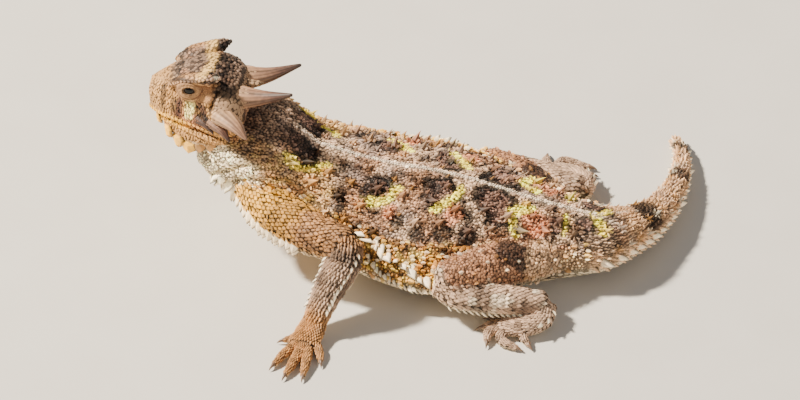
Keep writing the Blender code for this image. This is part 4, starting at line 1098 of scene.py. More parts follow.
# %% Marks of the head, by place in the head's frame
def paint_head(at, ring, lids):
    """Crown with its pits in painted shade, orange brows, barred cheeks, pale lips and lids."""
    local = of_head(at)
    x, y, z = local[:, 0], np.abs(local[:, 1]), local[:, 2]
    flat = np.stack([x, z], 1)
    mottle = cloud(at, 1.3, 15) + 0.5 * cloud(at, 0.7, 16)

    def line(start, end, rough, outer, inner):
        """A line on the side of the head, with ragged edges."""
        return ease(gap_to_segment(flat, start, end) + rough * mottle, outer, inner)

    def oval(middle_x, middle_z, half_x, half_z, outer, rough=0.0):
        """An oval on the side of the head."""
        far = np.hypot((x - middle_x) / half_x, (z - middle_z) / half_z)
        return ease(far + rough * mottle, outer, 0.8)

    top = ease(z + 0.25 * (x + 8), 5.2, 7.2)
    yellow = ease(np.abs(x - 2.2 - 0.25 * (5 - y)) + 0.4 * mottle, 1.8, 0.8)
    black = ease(x + 0.35 * mottle, 3.4, 4.4) * ease(x + 0.5 * mottle, 8.6, 6.4)
    streaks = ease(cloud(local * (1.0, 1.0, 0.35), 1.1, 27), 0.05, 0.3)
    brow_line = np.maximum(line((-5.6, 5.6), (-2.4, 7.2), 0.08, 0.42, 0.2),
                           line((-2.4, 7.2), (4.2, 7.9), 0.08, 0.42, 0.2))
    # Distance from the painted highlight on the tip of the left brow
    brow_highlight_far = np.sqrt((x - 4.9) ** 2 + (local[:, 1] + 8.3) ** 2 + (z - 8.8) ** 2)
    lower = ease(z, 5.6, 4.8)
    return lay(
        np.zeros_like(at),
        ("face", 1), ("snout", ease(x, -5.5, -8.0)), ("crown", top),
        ("back rose", 0.5 * top * ease(cloud(at, 2.0, 26), 0.0, 0.5)),
        # The crown's pits, painted as dark spots of shade
        ("crown pit", 0.85 * top * ease(cloud(at, 0.8, 17), 0.2, 0.42)),
        ("crown yellow", 0.8 * yellow * ease(z, 6.0, 7.5)),
        ("crown black", 0.9 * black * ease(z, 4.6, 6.2) * ease(y, 8.4, 7.2)),
        ("crown", 0.5 * ease(x, 7.0, 8.5) * ease(z, 1.0, 3.0)),
        ("temple", ease(x, 4.2, 5.4) * ease(z, 6.0, 4.8) * ease(z, -2.8, -1.6)),
        ("cheek", oval(-0.5, -2.2, 4.0, 1.8, 1.2)),
        ("crown pit", 0.7 * streaks * ease(z, 5.2, 4.4) * ease(z, -3.4, -2.6)
         * ease(y, 2.2, 3.2) * ease(x, 3.0, 1.0)),
        ("bar dark", 0.9 * line((-2.6, 2.0), (-3.0, -1.6), 0.25, 0.75, 0.45) * (y > 4)),
        ("bar dark", 0.9 * line((1.2, 2.8), (3.6, -1.4), 0.25, 0.95, 0.57) * (y > 4)),
        ("bar pale", line((-0.4, 1.9), (-0.7, -0.9), 0.1, 1.15, 0.9) * (y > 4)),
        ("labial", 0.8 * ease(np.abs(z - mouth_at(x)), 1.6, 1.0) * ease(x, 1.0, -3.0)),
        ("brow", 0.75 * oval(-0.3, 5.2, 6.2, 3.6, 1.05) * ease(y, 5.0, 6.4)),
        ("crown pit", 0.9 * brow_line * ease(y, 4.8, 5.6)),
        # Painted shadow in the hollow behind the eye
        ("crown black", 0.7 * oval(6.6, 4.9, 2.7, 1.3, 1.05, 0.15) * ease(y, 4.4, 5.4)
         * ease(y, 9.2, 8.4)),
        # Painted shade in the furrow behind the eye
        ("crown black", 0.85 * line((5.3, 5.2), (3.9, 1.2), 0.1, 0.42, 0.18) * ease(y, 5, 6)),
        ("crown black", 0.85 * line((2.2, -0.6), (4.4, -2.6), 0.3, 1.15, 0.85)
         * ease(y, 6.0, 7.0)),
        ("crown black", 0.9 * ease(x, 2.8, 3.8) * ease(z, 6.9, 7.6) * ease(y, 7.9, 7.1)
         * ease(y, 5.0, 5.8)),
        # The cream here is a painted highlight on the left brow's tip
        ("cream", 0.9 * ease(brow_highlight_far, 0.9, 0.5)), ("throat", ease(z, -7.2, -8.4)),
        ("lid", 0.95 * lids * ease(ring, 2.15, 1.9)),
        # Painted shade in the crease under the lower lid
        ("bar dark", 0.85 * lids * lower * ease(np.abs(ring - 2.2), 0.3, 0.1)),
        ("bar dark", 0.6 * lids * (1 - lower) * ease(np.abs(ring - 1.75), 0.16, 0.06)),
        ("lid rim", 0.9 * lids * ease(np.abs(ring - 1.4), 0.25, 0.1)),
        ("crown pit", 0.9 * lids * ease(ring, 1.22, 1.08)))


# %% Paint every point of the skin
def paint(at, owner, along, angle, ring, lids):
    colour = np.zeros_like(at)
    for number in np.unique(owner):
        mine, name = owner == number, NAMES[number]
        here, s, turn = at[mine], along[mine], angle[mine]
        if name in ("torso", "neck"):
            colour[mine] = paint_trunk(here, name, turn)
        elif name == "tail":
            colour[mine] = paint_tail(here, s, turn)
        elif name in ("head", "jaw"):
            colour[mine] = paint_head(here, ring[mine], lids[mine])
        else:
            colour[mine] = paint_limb(here, name, s, turn, FORMS[name].length)
    return colour


def soften(colour, corners):
    """Average each point with its neighbours, so that forms fade into one another."""
    edges = np.concatenate([corners[:, (0, 1)], corners[:, (1, 2)], corners[:, (2, 0)]])
    count = np.bincount(edges[:, 0], minlength=len(colour))[:, None] + 1.0
    total = colour.copy()
    np.add.at(total, edges[:, 0], colour[edges[:, 1]])
    return total / count


tint = soften(paint(spots, owner, along, angle, lid_ring, lid_share), corners)
print("skin painted, mean linear colour:", tint.mean(0).round(3))

# %% [markdown]
# ## Finishing the skin
# Between the scales, lizard skin is thin and finely creased, with beads too small to model.
# The colour comes from the markings, darkened under the scales and at the beads' edges as
# painted shade, and a fine cell pattern gives the beads. It could be displaced, but it
# shows only in the gaps, so bump is enough.

# %% Store the markings on a mesh and give the skin its material
def store(mesh, name, kind, values):
    """Keep an array of one value for each point on a mesh, as a named attribute."""
    if kind == "FLOAT_COLOR":
        values = np.column_stack([values, np.ones(len(values))])
    key = {"FLOAT": "value", "FLOAT_COLOR": "color", "FLOAT_VECTOR": "vector"}[kind]
    data = mesh.attributes.new(name, kind, "POINT").data
    data.foreach_set(key, np.ascontiguousarray(values, np.float32).ravel())


def skin_finish():
    """Creased skin: matt, with beads about 0.4 mm wide, darkened under the scales as painted
    shade.

    Where the face is bare of scales, round the eyes, it keeps about its full colour, the beads
    painted lighter in their middles and darker at their edges as highlight and shade.
    """
    finish, tree, shader = new_material("creased lizard skin", Roughness=0.72,
                                        Specular_IOR_Level=0.35)
    beads = pattern(tree, "Voronoi", 1 / (0.42 * MM)).outputs["Distance"]
    # Painted shade: under scales the colour falls to between 0.7 and 0.2, on bare skin to between
    # 1.08 and 0.72, lowest at the beads' edges
    level = node(tree, "ShaderNodeMix", {"data_type": "FLOAT"},
                 links={0: attribute(tree, "bare").outputs["Fac"],
                        2: mapped(tree, beads, 0.7, 0.2, 0.1, 0.6),
                        3: mapped(tree, beads, 1.08, 0.72, 0.1, 0.6)})
    marks = attribute(tree, "tint").outputs["Color"]
    tree.links.new(multiplied(tree, marks, level.outputs[0]), shader.inputs["Base Color"])
    add_bump(tree, shader, beads, 0.7, 0.15, invert=True)
    return finish


def bare_zone(at, lids, ring):
    """1 where the skin shows, on the lids and in the orbit, and 0 under scales."""
    local = of_head(at)
    y = np.abs(local[:, 1])
    orbit = np.hypot((local[:, 0] + 0.2) / 4.6, (local[:, 2] - 4.9) / 2.9)
    return np.maximum(lids * (ring < 2.9), ease(orbit, 1.1, 0.9) * ease(y, 5.4, 6.4))


def finish_skin():
    mesh = skin.data
    mesh.vertices.foreach_set("co", metres(spots).ravel())
    mesh.update()
    store(mesh, "tint", "FLOAT_COLOR", tint)
    store(mesh, "bare", "FLOAT", bare_zone(spots, lid_share, lid_ring))
    mesh.materials.clear()
    mesh.materials.append(skin_finish())
    mesh.shade_smooth()


finish_skin()
FLESH = [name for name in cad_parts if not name.startswith(("eye", "horn"))]
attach(skin, "root")
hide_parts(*FLESH)
print("the skin stands for", len(FLESH), "nodes")

# %% [markdown]
# ## The coat: how one scale becomes thousands
# Each kind of scale is made once, as a small closed mesh one unit wide, and Geometry
# Nodes set a copy on every root. The roots carry what the tree needs: which way is out,
# which way the scale lies, and its width, length and height. Particle hair or instances
# would be lighter, but they aren't real mesh once the model leaves Blender, so the tree
# ends by realizing them. The tree has named inputs, so one tree serves every kind.

# %% The scale shapes: points with x across, y along the lie and z out
def hull(name, points, faces, painted_light):
    """A closed scale. Its painted light runs from 0, a painted shade at the rim, to 1, a painted
    highlight on the keel or tip.
    """
    mesh = closed_mesh(name, points, faces)
    store(mesh, "painted_light", "FLOAT", np.array(painted_light, float))
    store(mesh, "patch", "FLOAT_VECTOR", np.array(points, float))
    holder = link(name, mesh)
    holder.hide_render = True
    return holder


def keeled_shape():
    """A leaf-shaped scale with a raised keel that runs out into a lifted point."""
    points = [(-0.34, -0.40, -0.30), (0.34, -0.40, -0.30), (-0.52, 0.0, -0.08),
              (0.52, 0.0, -0.08), (-0.32, 0.36, 0.10), (0.32, 0.36, 0.10), (0.0, 0.66, 0.52),
              (0.0, -0.38, 0.12), (0.0, 0.05, 0.74), (0.0, 0.40, 0.78), (0.0, 0.1, -0.45)]
    faces = [(0, 7, 2), (7, 8, 2), (2, 8, 4), (8, 9, 4), (4, 9, 6),
             (1, 3, 7), (7, 3, 8), (3, 5, 8), (8, 5, 9), (5, 6, 9), (0, 1, 7),
             (0, 2, 10), (2, 4, 10), (4, 6, 10), (6, 5, 10), (5, 3, 10), (3, 1, 10), (1, 0, 10)]
    # Painted shade on the outline, painted highlight on the keel and the tip
    return hull("keeled scale", points, faces, [0, 0, 0.1, 0.1, 0.25, 0.25, 1, 0.4, 0.9, 1, 0])


def bead_shape(name, inner, painted_light, rim=0.0, peak=1.0, sides=6):
    """A low rounded bead, or with a wide flat top a plate, of a slightly uneven outline."""
    ring = [(math.cos(2 * math.pi * k / sides) * (1.0 + 0.1 * math.cos(2.3 * k)),
             math.sin(2 * math.pi * k / sides) * (1.0 + 0.1 * math.cos(2.3 * k)))
            for k in range(sides)]
    points = [(0.5 * x, 0.5 * y, -0.35) for x, y in ring]
    points += [(inner * x, inner * y, 0.30) for x, y in ring]
    points += [(0.0, 0.0, 0.62), (0.0, 0.0, -0.5)]
    faces = tube(2, sides) + fan(sides, sides, 2 * sides) + fan(0, sides, 2 * sides + 1)
    # Painted shade at the foot of the bead, painted highlight over its top and its peak
    return hull(name, points, faces, [rim] * sides + [painted_light] * sides + [peak, rim])


def leaf_shape(name, shoulder, point):
    """A flat pointed scale with a low keel, a painted shade all round its rim and a painted
    highlight on its keel.
    """
    rim = ((0, -0.5), (0.38, -0.42), (0.5, -0.1), (shoulder, 0.45 * point), (0, point),
           (-shoulder, 0.45 * point), (-0.5, -0.1), (-0.38, -0.42))
    points = [(x, y, -0.05 + 0.28 * (y + 0.5)) for x, y in rim]
    points += [(0.74 * x, 0.78 * y, 0.32 + 0.34 * (y + 0.5)) for x, y in rim]
    points += [(0, -0.2, 0.62), (0, 0.3, 0.92), (0, 0.05, -0.4)]
    faces = [(8, 9, 16), (9, 10, 16), (10, 11, 17, 16), (11, 12, 17), (12, 13, 17),
             (13, 14, 16, 17), (14, 15, 16), (15, 8, 16)]
    return hull(name, points, tube(2, 8) + faces + fan(0, 8, 18),
                [0.0] * 8 + [0.68] * 8 + [0.8, 1.0, 0.0])


def spine_shape(sides=7, rings=5):
    """A spine with a broad foot, bent back over the lie, one unit high."""
    points, painted_light = [], []
    for r in range(rings):
        part = r / rings
        radius = 0.42 * (1 - part) ** 1.15 + 0.2 * (1 - part) ** 6
        bend = 0.3 * part ** 1.6
        for k in range(sides):
            turn = 2 * math.pi * k / sides
            sharp = radius * (1.0 if k % 2 == 0 else 0.86)
            points.append((sharp * math.cos(turn), sharp * math.sin(turn) + bend, part - 0.12))
            # Painted shade at the spine's foot, rising to a painted highlight at its tip
            painted_light.append(0.15 + 0.85 * part)
    points += [(0.0, 0.33, 0.92), (0.0, 0.0, -0.2)]
    tip = rings * sides
    faces = tube(rings, sides) + fan(tip - sides, sides, tip) + fan(0, sides, tip + 1)
    return hull("spine", points, faces, painted_light + [1.0, 0.0])


# The smooth plate has a weaker painted shade at its rim and a weaker painted highlight on top
SHAPES = {"keeled": keeled_shape(), "bead": bead_shape("bead", 0.42, 0.55),
          "plate": bead_shape("plate", 0.46, 0.7), "leaf": leaf_shape("leaf scale", 0.36, 0.72),
          "blade": leaf_shape("fringe scale", 0.33, 1.1), "spine": spine_shape(),
          "smooth": bead_shape("smooth plate", 0.47, 0.62, rim=0.34, peak=0.66)}
print({kind: len(shape.data.polygons) for kind, shape in SHAPES.items()}, "faces each")


# %% What scales are made of
def scale_finish():
    """Keratin over pigment, slightly glossy: a painted shade darkens each scale towards its rim,
    and a painted highlight lightens its keel and tip.
    """
    finish, tree, shader = new_material("scale keratin", Roughness=0.56,
                                        Specular_IOR_Level=0.32)
    grain = pattern(tree, "Noise", 1 / (0.5 * MM), Detail=3.0).outputs["Fac"]
    # Each scale's painted light, times a random grain, darkens or lightens its colour
    level = maths(tree, "MULTIPLY", links={
        0: mapped(tree, attribute(tree, "painted_light").outputs["Fac"], 0.09, 1.75),
        1: mapped(tree, grain, 0.8, 1.2)})
    marks = attribute(tree, "tint").outputs["Color"]
    tree.links.new(multiplied(tree, marks, level), shader.inputs["Base Color"])
    add_bump(tree, shader, grain, 0.35, 0.08)
    return finish


SCALE_FINISH = scale_finish()


# %% The tree that sets a scale on every root
def coat_tree():
    tree = bpy.data.node_groups.new("set scales", "GeometryNodeTree")
    for name, kind in (("Roots", "Geometry"), ("Scale shape", "Object"), ("Size", "Float"),
                       ("Size spread", "Float"), ("Seed", "Int"), ("Finish", "Material")):
        tree.interface.new_socket(name, in_out="INPUT", socket_type="NodeSocket" + kind)
    tree.interface.new_socket("Scales", in_out="OUTPUT", socket_type="NodeSocketGeometry")
    given = node(tree, "NodeGroupInput").outputs
    out, lie, size = (
        node(tree, "GeometryNodeInputNamedAttribute", {"data_type": "FLOAT_VECTOR"},
             {"Name": name}).outputs["Attribute"] for name in ("out", "lie", "size"))
    stand = node(tree, "FunctionNodeAlignRotationToVector", {"axis": "Z"}, links={"Vector": out})
    turned = node(tree, "FunctionNodeAlignRotationToVector", {"axis": "Y", "pivot_axis": "Z"},
                  links={"Rotation": stand.outputs[0], "Vector": lie})
    low, high = (maths(tree, operation, {0: 1.0}, {1: given["Size spread"]})
                 for operation in ("SUBTRACT", "ADD"))
    varied = node(tree, "FunctionNodeRandomValue", {"data_type": "FLOAT"},
                  links={2: low, 3: high, "Seed": given["Seed"]})
    sized = maths(tree, "MULTIPLY", links={0: varied.outputs[1], 1: given["Size"]})
    scaled = node(tree, "ShaderNodeVectorMath", {"operation": "SCALE"},
                  links={0: size, "Scale": sized})
    shape = node(tree, "GeometryNodeObjectInfo", links={"Object": given["Scale shape"]})
    placed = node(tree, "GeometryNodeInstanceOnPoints",
                  links={"Points": given["Roots"], "Instance": shape.outputs["Geometry"],
                         "Rotation": turned.outputs[0], "Scale": scaled.outputs[0]})
    real = node(tree, "GeometryNodeRealizeInstances", links={0: placed.outputs[0]})
    done = node(tree, "GeometryNodeSetMaterial",
                links={"Geometry": real.outputs[0], "Material": given["Finish"]})
    node(tree, "NodeGroupOutput", links={"Scales": done.outputs[0]})
    return tree


COAT_TREE = coat_tree()
print("coat tree with", len(COAT_TREE.nodes), "nodes")

# %% [markdown]
# Where the scales grow: the skin's own points know their form, normal, lie and colour, so
# a root is a place on a triangle of the skin with these blended from its corners. Roots
# are scattered with an even spacing where scales are granular, and laid in staggered rows
# where real scales overlap like roof tiles, as on the arms, the shanks and the toes.

# %% Roots on the skin
BLENDED = ("spot", "out", "lie", "tint")                      # between a triangle's corners
NEAREST = ("owner", "along", "angle", "ring", "lids")         # from its nearest corner
SKIN = dict(zip(BLENDED + NEAREST, (spots, normals, lie, tint, owner, along, angle, lid_ring,
                                    lid_share)))
skin_tree = BVHTree.FromPolygons(spots.tolist(), corners.tolist())
TRIES = 7.0                    # places tried for each scale that fits, so that no gap is left


def flatten(roots, way):
    """A way for every root, laid flat on the skin and at length one."""
    return unit(way - roots["out"] * (way * roots["out"]).sum(1)[:, None])


def roots_from(faces, weights):
    """Roots at given places inside given triangles."""
    main = corners[faces, weights.argmax(1)]
    roots = {key: SKIN[key][main] for key in NEAREST}
    for key in BLENDED:
        roots[key] = (SKIN[key][corners[faces]] * weights[..., None]).sum(1)
    roots["out"] = unit(roots["out"])
    roots["lie"] = flatten(roots, roots["lie"])
    fresh = paint(roots["spot"], *(roots[key] for key in NEAREST))
    roots["tint"] = 0.15 * roots["tint"] + 0.85 * fresh
    return roots


def pick(roots, mask):
    return {key: value[mask] for key, value in roots.items()}


def join(*lots):
    return {key: np.concatenate([lot[key] for lot in lots]) for key in lots[0]}


def away_from(roots, others, least):
    """The roots that are at least a given distance from others."""
    tree = tree_over(others["spot"])
    gap = np.array([tree.find(spot)[2] for spot in roots["spot"]])
    return pick(roots, gap > least)


def scatter(wanted, spacing):
    """Evenly spaced roots on the wanted triangles."""
    faces = np.nonzero(wanted[corners].all(1))[0]
    tri = spots[corners[faces]]
    area = 0.5 * np.linalg.norm(np.cross(tri[:, 1] - tri[:, 0], tri[:, 2] - tri[:, 0]), axis=1)
    dense = area / spacing**2
    count = int(TRIES * dense.sum())
    chosen = rng.choice(len(faces), count, p=dense / dense.sum())
    a, b = rng.random(count), rng.random(count)
    fold = a + b > 1
    a, b = np.where(fold, 1 - a, a), np.where(fold, 1 - b, b)
    weights = np.column_stack([1 - a - b, a, b])
    places = (spots[corners[faces[chosen]]] * weights[..., None]).sum(1)
    tree, alive, kept = tree_over(places), np.ones(count, bool), []
    for k in range(count):
        if alive[k]:
            kept.append(k)
            for _, other, _ in tree.find_range(places[k], spacing):
                alive[other] = False
    return roots_from(faces[chosen[kept]], weights[kept])


def settle(places):
    """Roots on the skin nearest to given places, and how far away each was."""
    faces, weights, far = [], [], []
    for place in places:
        spot, _, face, distance = skin_tree.find_nearest(place)
        corner = spots[corners[face]]
        split = np.linalg.lstsq(np.vstack([corner.T, np.ones(3)]), np.append(spot, 1.0),
                                rcond=None)[0]
        faces.append(face)
        weights.append(np.clip(split, 0, 1))
        far.append(distance)
    weights = np.array(weights)
    return roots_from(np.array(faces), weights / weights.sum(1)[:, None]), np.array(far)


def settle_on(names, places, reach):
    """Roots nearest to places, but only on the named forms, and which places they stand for."""
    roots, far = settle(places)
    good = (far < reach) & np.isin(roots["owner"], [OF[name] for name in names])
    return pick(roots, good), good


def rows_on(name, width, length, jitter=0.16):
    """Staggered rows of roots round a form, dropped where another form covers them."""
    form, fine = FORMS[name], np.linspace(-math.pi, math.pi, 361)
    s_list, turn_list, s, row = [], [], 0.0, 0
    while s < form.length:
        run = way_along(form.point(np.full(len(fine), s), fine))
        count = max(int(round(run[-1] / width)), 5)
        marks = (np.arange(count) + 0.5 * (row % 2)) / count * run[-1]
        turn_list.append(np.interp(marks, run, fine))
        s_list.append(np.full(count, s))
        s, row = s + length, row + 1
    s, turn = np.concatenate(s_list), np.concatenate(turn_list)
    s = s + rng.uniform(-jitter, jitter, len(s)) * length
    turn = turn + rng.uniform(-jitter, jitter, len(s)) * width / 5.0
    mine = np.abs(turn) < math.pi
    return settle_on([name], form.point(s[mine], turn[mine], -COAT_DEPTH), 0.45)[0]


print("skin tree ready")


# %% Set one lot of scales
TILES = 6                      # the bake map has a tile for every form, six in a row
TILE_EDGE = 0.04               # the empty edge of each tile, as a share of its width
PATCH = 0.003                  # a scale's patch on the bake map is this wide
coat = []


def map_places(roots):
    """Each root's place on an unwrap of the skin: a tile per form, round it and along it."""
    length = np.array([form.length for form in FORMS.values()])[roots["owner"]]
    column, line = roots["owner"] % TILES, roots["owner"] // TILES
    across = (roots["angle"] % (2 * math.pi)) / (2 * math.pi)
    inner = 1 - 2 * TILE_EDGE
    return np.column_stack([column + TILE_EDGE + inner * across,
                            line + TILE_EDGE + inner * roots["along"] / length]) / (TILES + 1)


def vectors(mesh, name):
    """A vector attribute of a mesh as an array."""
    flat = np.empty(len(mesh.vertices) * 3, np.float32)
    mesh.attributes[name].data.foreach_get("vector", flat)
    return flat.reshape(-1, 3)


def rest_on_floor(mesh, points, least):
    """Give a mesh its points, none of them lower than a given height."""
    points[:, 2] = np.maximum(points[:, 2], least)
    mesh.vertices.foreach_set("co", points.ravel())
    mesh.update()


def finish_lot(piece):
    """Keep scales off the floor, and give each its patch of the bake map."""
    mesh = piece.data
    place = vectors(mesh, "root") + vectors(mesh, "patch") * PATCH
    corner = np.empty(len(mesh.loops), np.int32)
    mesh.loops.foreach_get("vertex_index", corner)
    layer = mesh.uv_layers.new(name="OFBake")
    layer.data.foreach_set("uv", place[corner, :2].astype(np.float32).ravel())
    for name in ("root", "patch"):
        mesh.attributes.remove(mesh.attributes[name])
    rest_on_floor(mesh, coordinates(mesh), 0.01 * MM)


def set_scales(name, kind, roots, size, spread=0.12, tilt=0.0, mottle=0.2):
    """Set scales of one kind on roots. size is (width, length, height) in mm for each."""
    count = len(roots["spot"])
    size = np.broadcast_to(np.asarray(size, float), (count, 3))
    tilt = np.broadcast_to(np.asarray(tilt, float), (count,))[:, None]
    out, lie = roots["out"], roots["lie"]
    mesh = bpy.data.meshes.new(name)
    mesh.from_pydata(metres(roots["spot"]).tolist(), [], [])
    shade = roots["tint"] * rng.uniform(1 - mottle, 1 + mottle, count)[:, None]
    store(mesh, "out", "FLOAT_VECTOR", out * np.cos(tilt) - lie * np.sin(tilt))
    store(mesh, "lie", "FLOAT_VECTOR", lie * np.cos(tilt) + out * np.sin(tilt))
    store(mesh, "size", "FLOAT_VECTOR", size * MM)
    store(mesh, "tint", "FLOAT_COLOR", np.clip(shade, 0, 1))
    store(mesh, "root", "FLOAT_VECTOR", np.column_stack([map_places(roots), np.zeros(count)]))
    piece = link(name, mesh)
    setter = piece.modifiers.new("set scales", "NODES")
    setter.node_group = COAT_TREE
    keys = {item.name: item.identifier for item in COAT_TREE.interface.items_tree
            if item.in_out == "INPUT"}
    for key, value in (("Scale shape", SHAPES[kind]), ("Size", 1.0), ("Size spread", spread),
                       ("Seed", len(coat)), ("Finish", SCALE_FINISH)):
        setter[keys[key]] = value
    piece.data = evaluated(piece)
    finish_lot(piece)
    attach(piece, "root")
    coat.append(piece)
    print(f"{name}: {count} scales, {len(triangles(piece.data))} triangles")

# %% [markdown]
# ## Spines of the back
# What names this animal from a step away are its spines. They stand in staggered rows down
# the back, each on a rosette of small pointed scales, and they are drawn here at the same
# places and heights as in the solids, with smaller ones between them. Making them first
# lets the small scales keep clear of them.

# %% Roots of the spines
BACK_ROWS = (0.17, 0.36, 0.56, 0.76)      # rows of spines, as shares of the half width
BACK_STEP = 5.4
ROW_HEIGHTS = (1.7, 2.5, 2.6, 2.0)
SPINE_TONES = ("spine", "limb dark", "back", "flank ochre", "spine", "flank black", "back rose")
draw = random.Random(7)


def angle_at(form, s, y):
    """The angle above the widest line at which a form's surface is y from its mid plane."""
    size = form.frame(np.array(s))[4]
    across = min(abs(y) / size[0], 1.0) ** (size[3] / 2)
    turn = math.acos(across)
    return turn if y > 0 else math.pi - turn


def spine_places():
    """Places and heights of the big spines, drawn in the order that the solids use."""
    torso, places, heights = FORMS["torso"], [], []
    for row, share in enumerate(BACK_ROWS):
        for side in (-1, 1):
            x = -25.0 + 0.5 * BACK_STEP * (row % 2)
            while x < 35.0:
                s = torso.at_x(x + draw.uniform(-0.6, 0.6))
                wide = torso.frame(np.array(s))[4][0]
                y = side * wide * (share + draw.uniform(-0.03, 0.03))
                heights.append(ROW_HEIGHTS[row] * draw.uniform(0.85, 1.15))
                places.append(torso.point(s, angle_at(torso, s, y), -COAT_DEPTH))
                x += BACK_STEP
    return np.array(places), np.array(heights)


def shade(roots, name, share=1.0):
    """Lay a named shade over the roots' own colour."""
    roots["tint"] = lay(roots["tint"], (name, share))
    return roots


def vary(roots, names, share):
    """Lay one of several named shades over each root's colour, in a drawn order."""
    which = rng.integers(0, len(names), len(roots["tint"]))
    roots["tint"] = lay(roots["tint"], *((name, share * (which == k))
                                         for k, name in enumerate(names)))
    return roots


def drawn(roots, low, high, *shape):
    """A drawn number between two limits for each root."""
    return rng.uniform(low, high, (len(roots["spot"]), *shape))


torso, tail = FORMS["torso"], FORMS["tail"]
places, heights = spine_places()
spine_roots, kept = settle_on(("torso", "neck"), places, 1.2)
spine_roots, heights = vary(spine_roots, SPINE_TONES, 0.5), heights[kept]
set_scales("spines_back", "spine", spine_roots, np.outer(heights, (0.95, 1, 1)), spread=0.05,
           tilt=-0.05)
print("big spines:", len(heights), "tallest", heights.max().round(1), "mm")


# %% Rosettes of pointed scales round the spines
def rosette(roots, radius, count):
    """Places round each root, with the direction away from it."""
    places, ways = [], []
    for k, spot in enumerate(roots["spot"]):
        out, lie_way = roots["out"][k], roots["lie"][k]
        side = np.cross(out, lie_way)
        for j in range(count):
            turn = 2 * math.pi * (j + 0.3 * (k % 3)) / count
            ways.append(lie_way * math.cos(turn) + side * math.sin(turn))
            places.append(spot + ways[-1] * radius[k])
    made, _ = settle(np.array(places))
    made["lie"] = flatten(made, np.array(ways))
    made["tint"] = 0.45 * made["tint"] + 0.55 * np.repeat(roots["tint"], count, axis=0)
    return made


ring_roots = rosette(spine_roots, 0.42 * heights, 7)
ring_size = np.outer(np.repeat(heights, 7) / 2.3, (0.85, 1.05, 0.8))
set_scales("rosettes_back", "keeled", ring_roots, ring_size, tilt=0.45, mottle=0.35)

SMALL_SPINES = 330             # places tried for the small spines between the big ones
small_places = torso.point(rng.uniform(6, 66, SMALL_SPINES),
                           rng.uniform(0.45, 2.7, SMALL_SPINES), -COAT_DEPTH)
small_roots = away_from(settle_on(["torso"], small_places, 0.5)[0], spine_roots, 1.7)
small_roots = pick(small_roots, np.abs(small_roots["spot"][:, 1]) > 1.0)
small_roots = vary(small_roots, SPINE_TONES, 0.45)
set_scales("small_spines_back", "spine", small_roots,
           np.outer(drawn(small_roots, 0.8, 1.35), (0.85, 0.95, 1)), tilt=-0.1)

# %% [markdown]
# ## Granular coat of the trunk
# The back of this species is covered with small rough grains of uneven size, and the
# flanks with pointed ochre scales that stand apart over black, partly the skin's own colour
# and partly painted shadow of the hollows between them. Even rows would look knitted, so
# these roots are scattered, with a spacing for each part of the body.

# %% Small scales of the back and the flanks
FLANK_FROM = 0.72              # the flank begins at this share of the half width
BELLY_BELOW = -0.15            # and the belly where the sine of the angle falls below this
on_trunk = np.isin(owner, (OF["torso"], OF["neck"]))
reach = np.abs(spots[:, 1]) / half_width(spots[:, 0])
under = on_trunk & (np.sin(angle) <= BELLY_BELOW)
flank = on_trunk & ~under & (reach > FLANK_FROM) & (owner == OF["torso"])
back = on_trunk & ~under & ~flank
print("points on back, flank, belly:", back.sum(), flank.sum(), under.sum())


def uneven(roots, small, large, share):
    """Scale widths: most of them small, and a share of them large."""
    count = len(roots["spot"])
    return np.where(rng.random(count) < share, rng.uniform(*large, count),
                    rng.uniform(*small, count))


def midline_roots(step=0.5):
    """Roots in two close, slightly wandering rows along the top of the torso and the tail."""
    places = []
    for form, start, end in ((torso, torso.at_x(-25.0), torso.length - 1.0), (tail, 3.0, 15.0)):
        for row, side in enumerate((-0.21, 0.21)):
            for s in np.arange(start + 0.5 * step * row, end, step):
                turn = angle_at(form, s, side + rng.uniform(-0.07, 0.07))
                places.append(form.point(s + rng.uniform(-0.1, 0.1), turn, -COAT_DEPTH))
    return settle(np.array(places))[0]


stripe_roots = shade(midline_roots(), "stripe", 0.8)
set_scales("midline_beads", "keeled", stripe_roots,
           np.outer(drawn(stripe_roots, 0.42, 0.62), (1, 1, 0.65)), tilt=0.1, mottle=0.35)

back_roots = scatter(back | (flank & (reach < 0.75)), 0.47)
back_roots = away_from(away_from(back_roots, spine_roots, 0.8), stripe_roots, 0.32)
pointed = rng.random(len(back_roots["spot"])) < 0.22
width = uneven(back_roots, (0.5, 0.62), (0.68, 0.85), 0.15)
set_scales("grains_back", "plate", pick(back_roots, ~pointed),
           np.outer(width[~pointed], (1, 1.15, 0.45)), mottle=0.4)
set_scales("small_scales_back", "keeled", pick(back_roots, pointed),
           np.outer(width[pointed] * 1.3, (1, 1.3, 0.7)), tilt=0.2, mottle=0.5)

flank_roots = away_from(scatter(flank, 0.6), spine_roots, 0.8)
big = rng.random(len(flank_roots["spot"])) < 0.3
big_roots = vary(pick(flank_roots, big), ("flank ochre", "flank yellow", "cream"), 0.55)
set_scales("cones_flank", "keeled", big_roots,
           np.outer(drawn(big_roots, 0.95, 1.4), (1, 1.2, 0.85)), tilt=0.3, mottle=0.25)
fine_roots = away_from(pick(flank_roots, ~big), big_roots, 0.5)
set_scales("beads_flank", "bead", fine_roots,
           np.outer(drawn(fine_roots, 0.45, 0.72), (1, 1, 0.6)), mottle=0.45)

belly_roots = scatter(under & (owner == OF["torso"]), 0.8)
set_scales("belly_scales", "leaf", belly_roots, (1.1, 1.1, 0.25), tilt=0.04, mottle=0.15)

throat_roots = scatter(under & (owner == OF["neck"]), 0.5)
width = uneven(throat_roots, (0.42, 0.6), (0.7, 0.9), 0.15)
set_scales("throat_grains", "bead", throat_roots, np.outer(width, (1, 1.1, 0.45)), mottle=0.4)


# %% [markdown]
# ## Pointed fringes
# Along each flank, under the jaw, in front of the arm and on the edges of the limbs and
# tail grow rows of flat, pale, pointed scales that stand out from the body. They follow
# the same lines as in the solids, closer together.

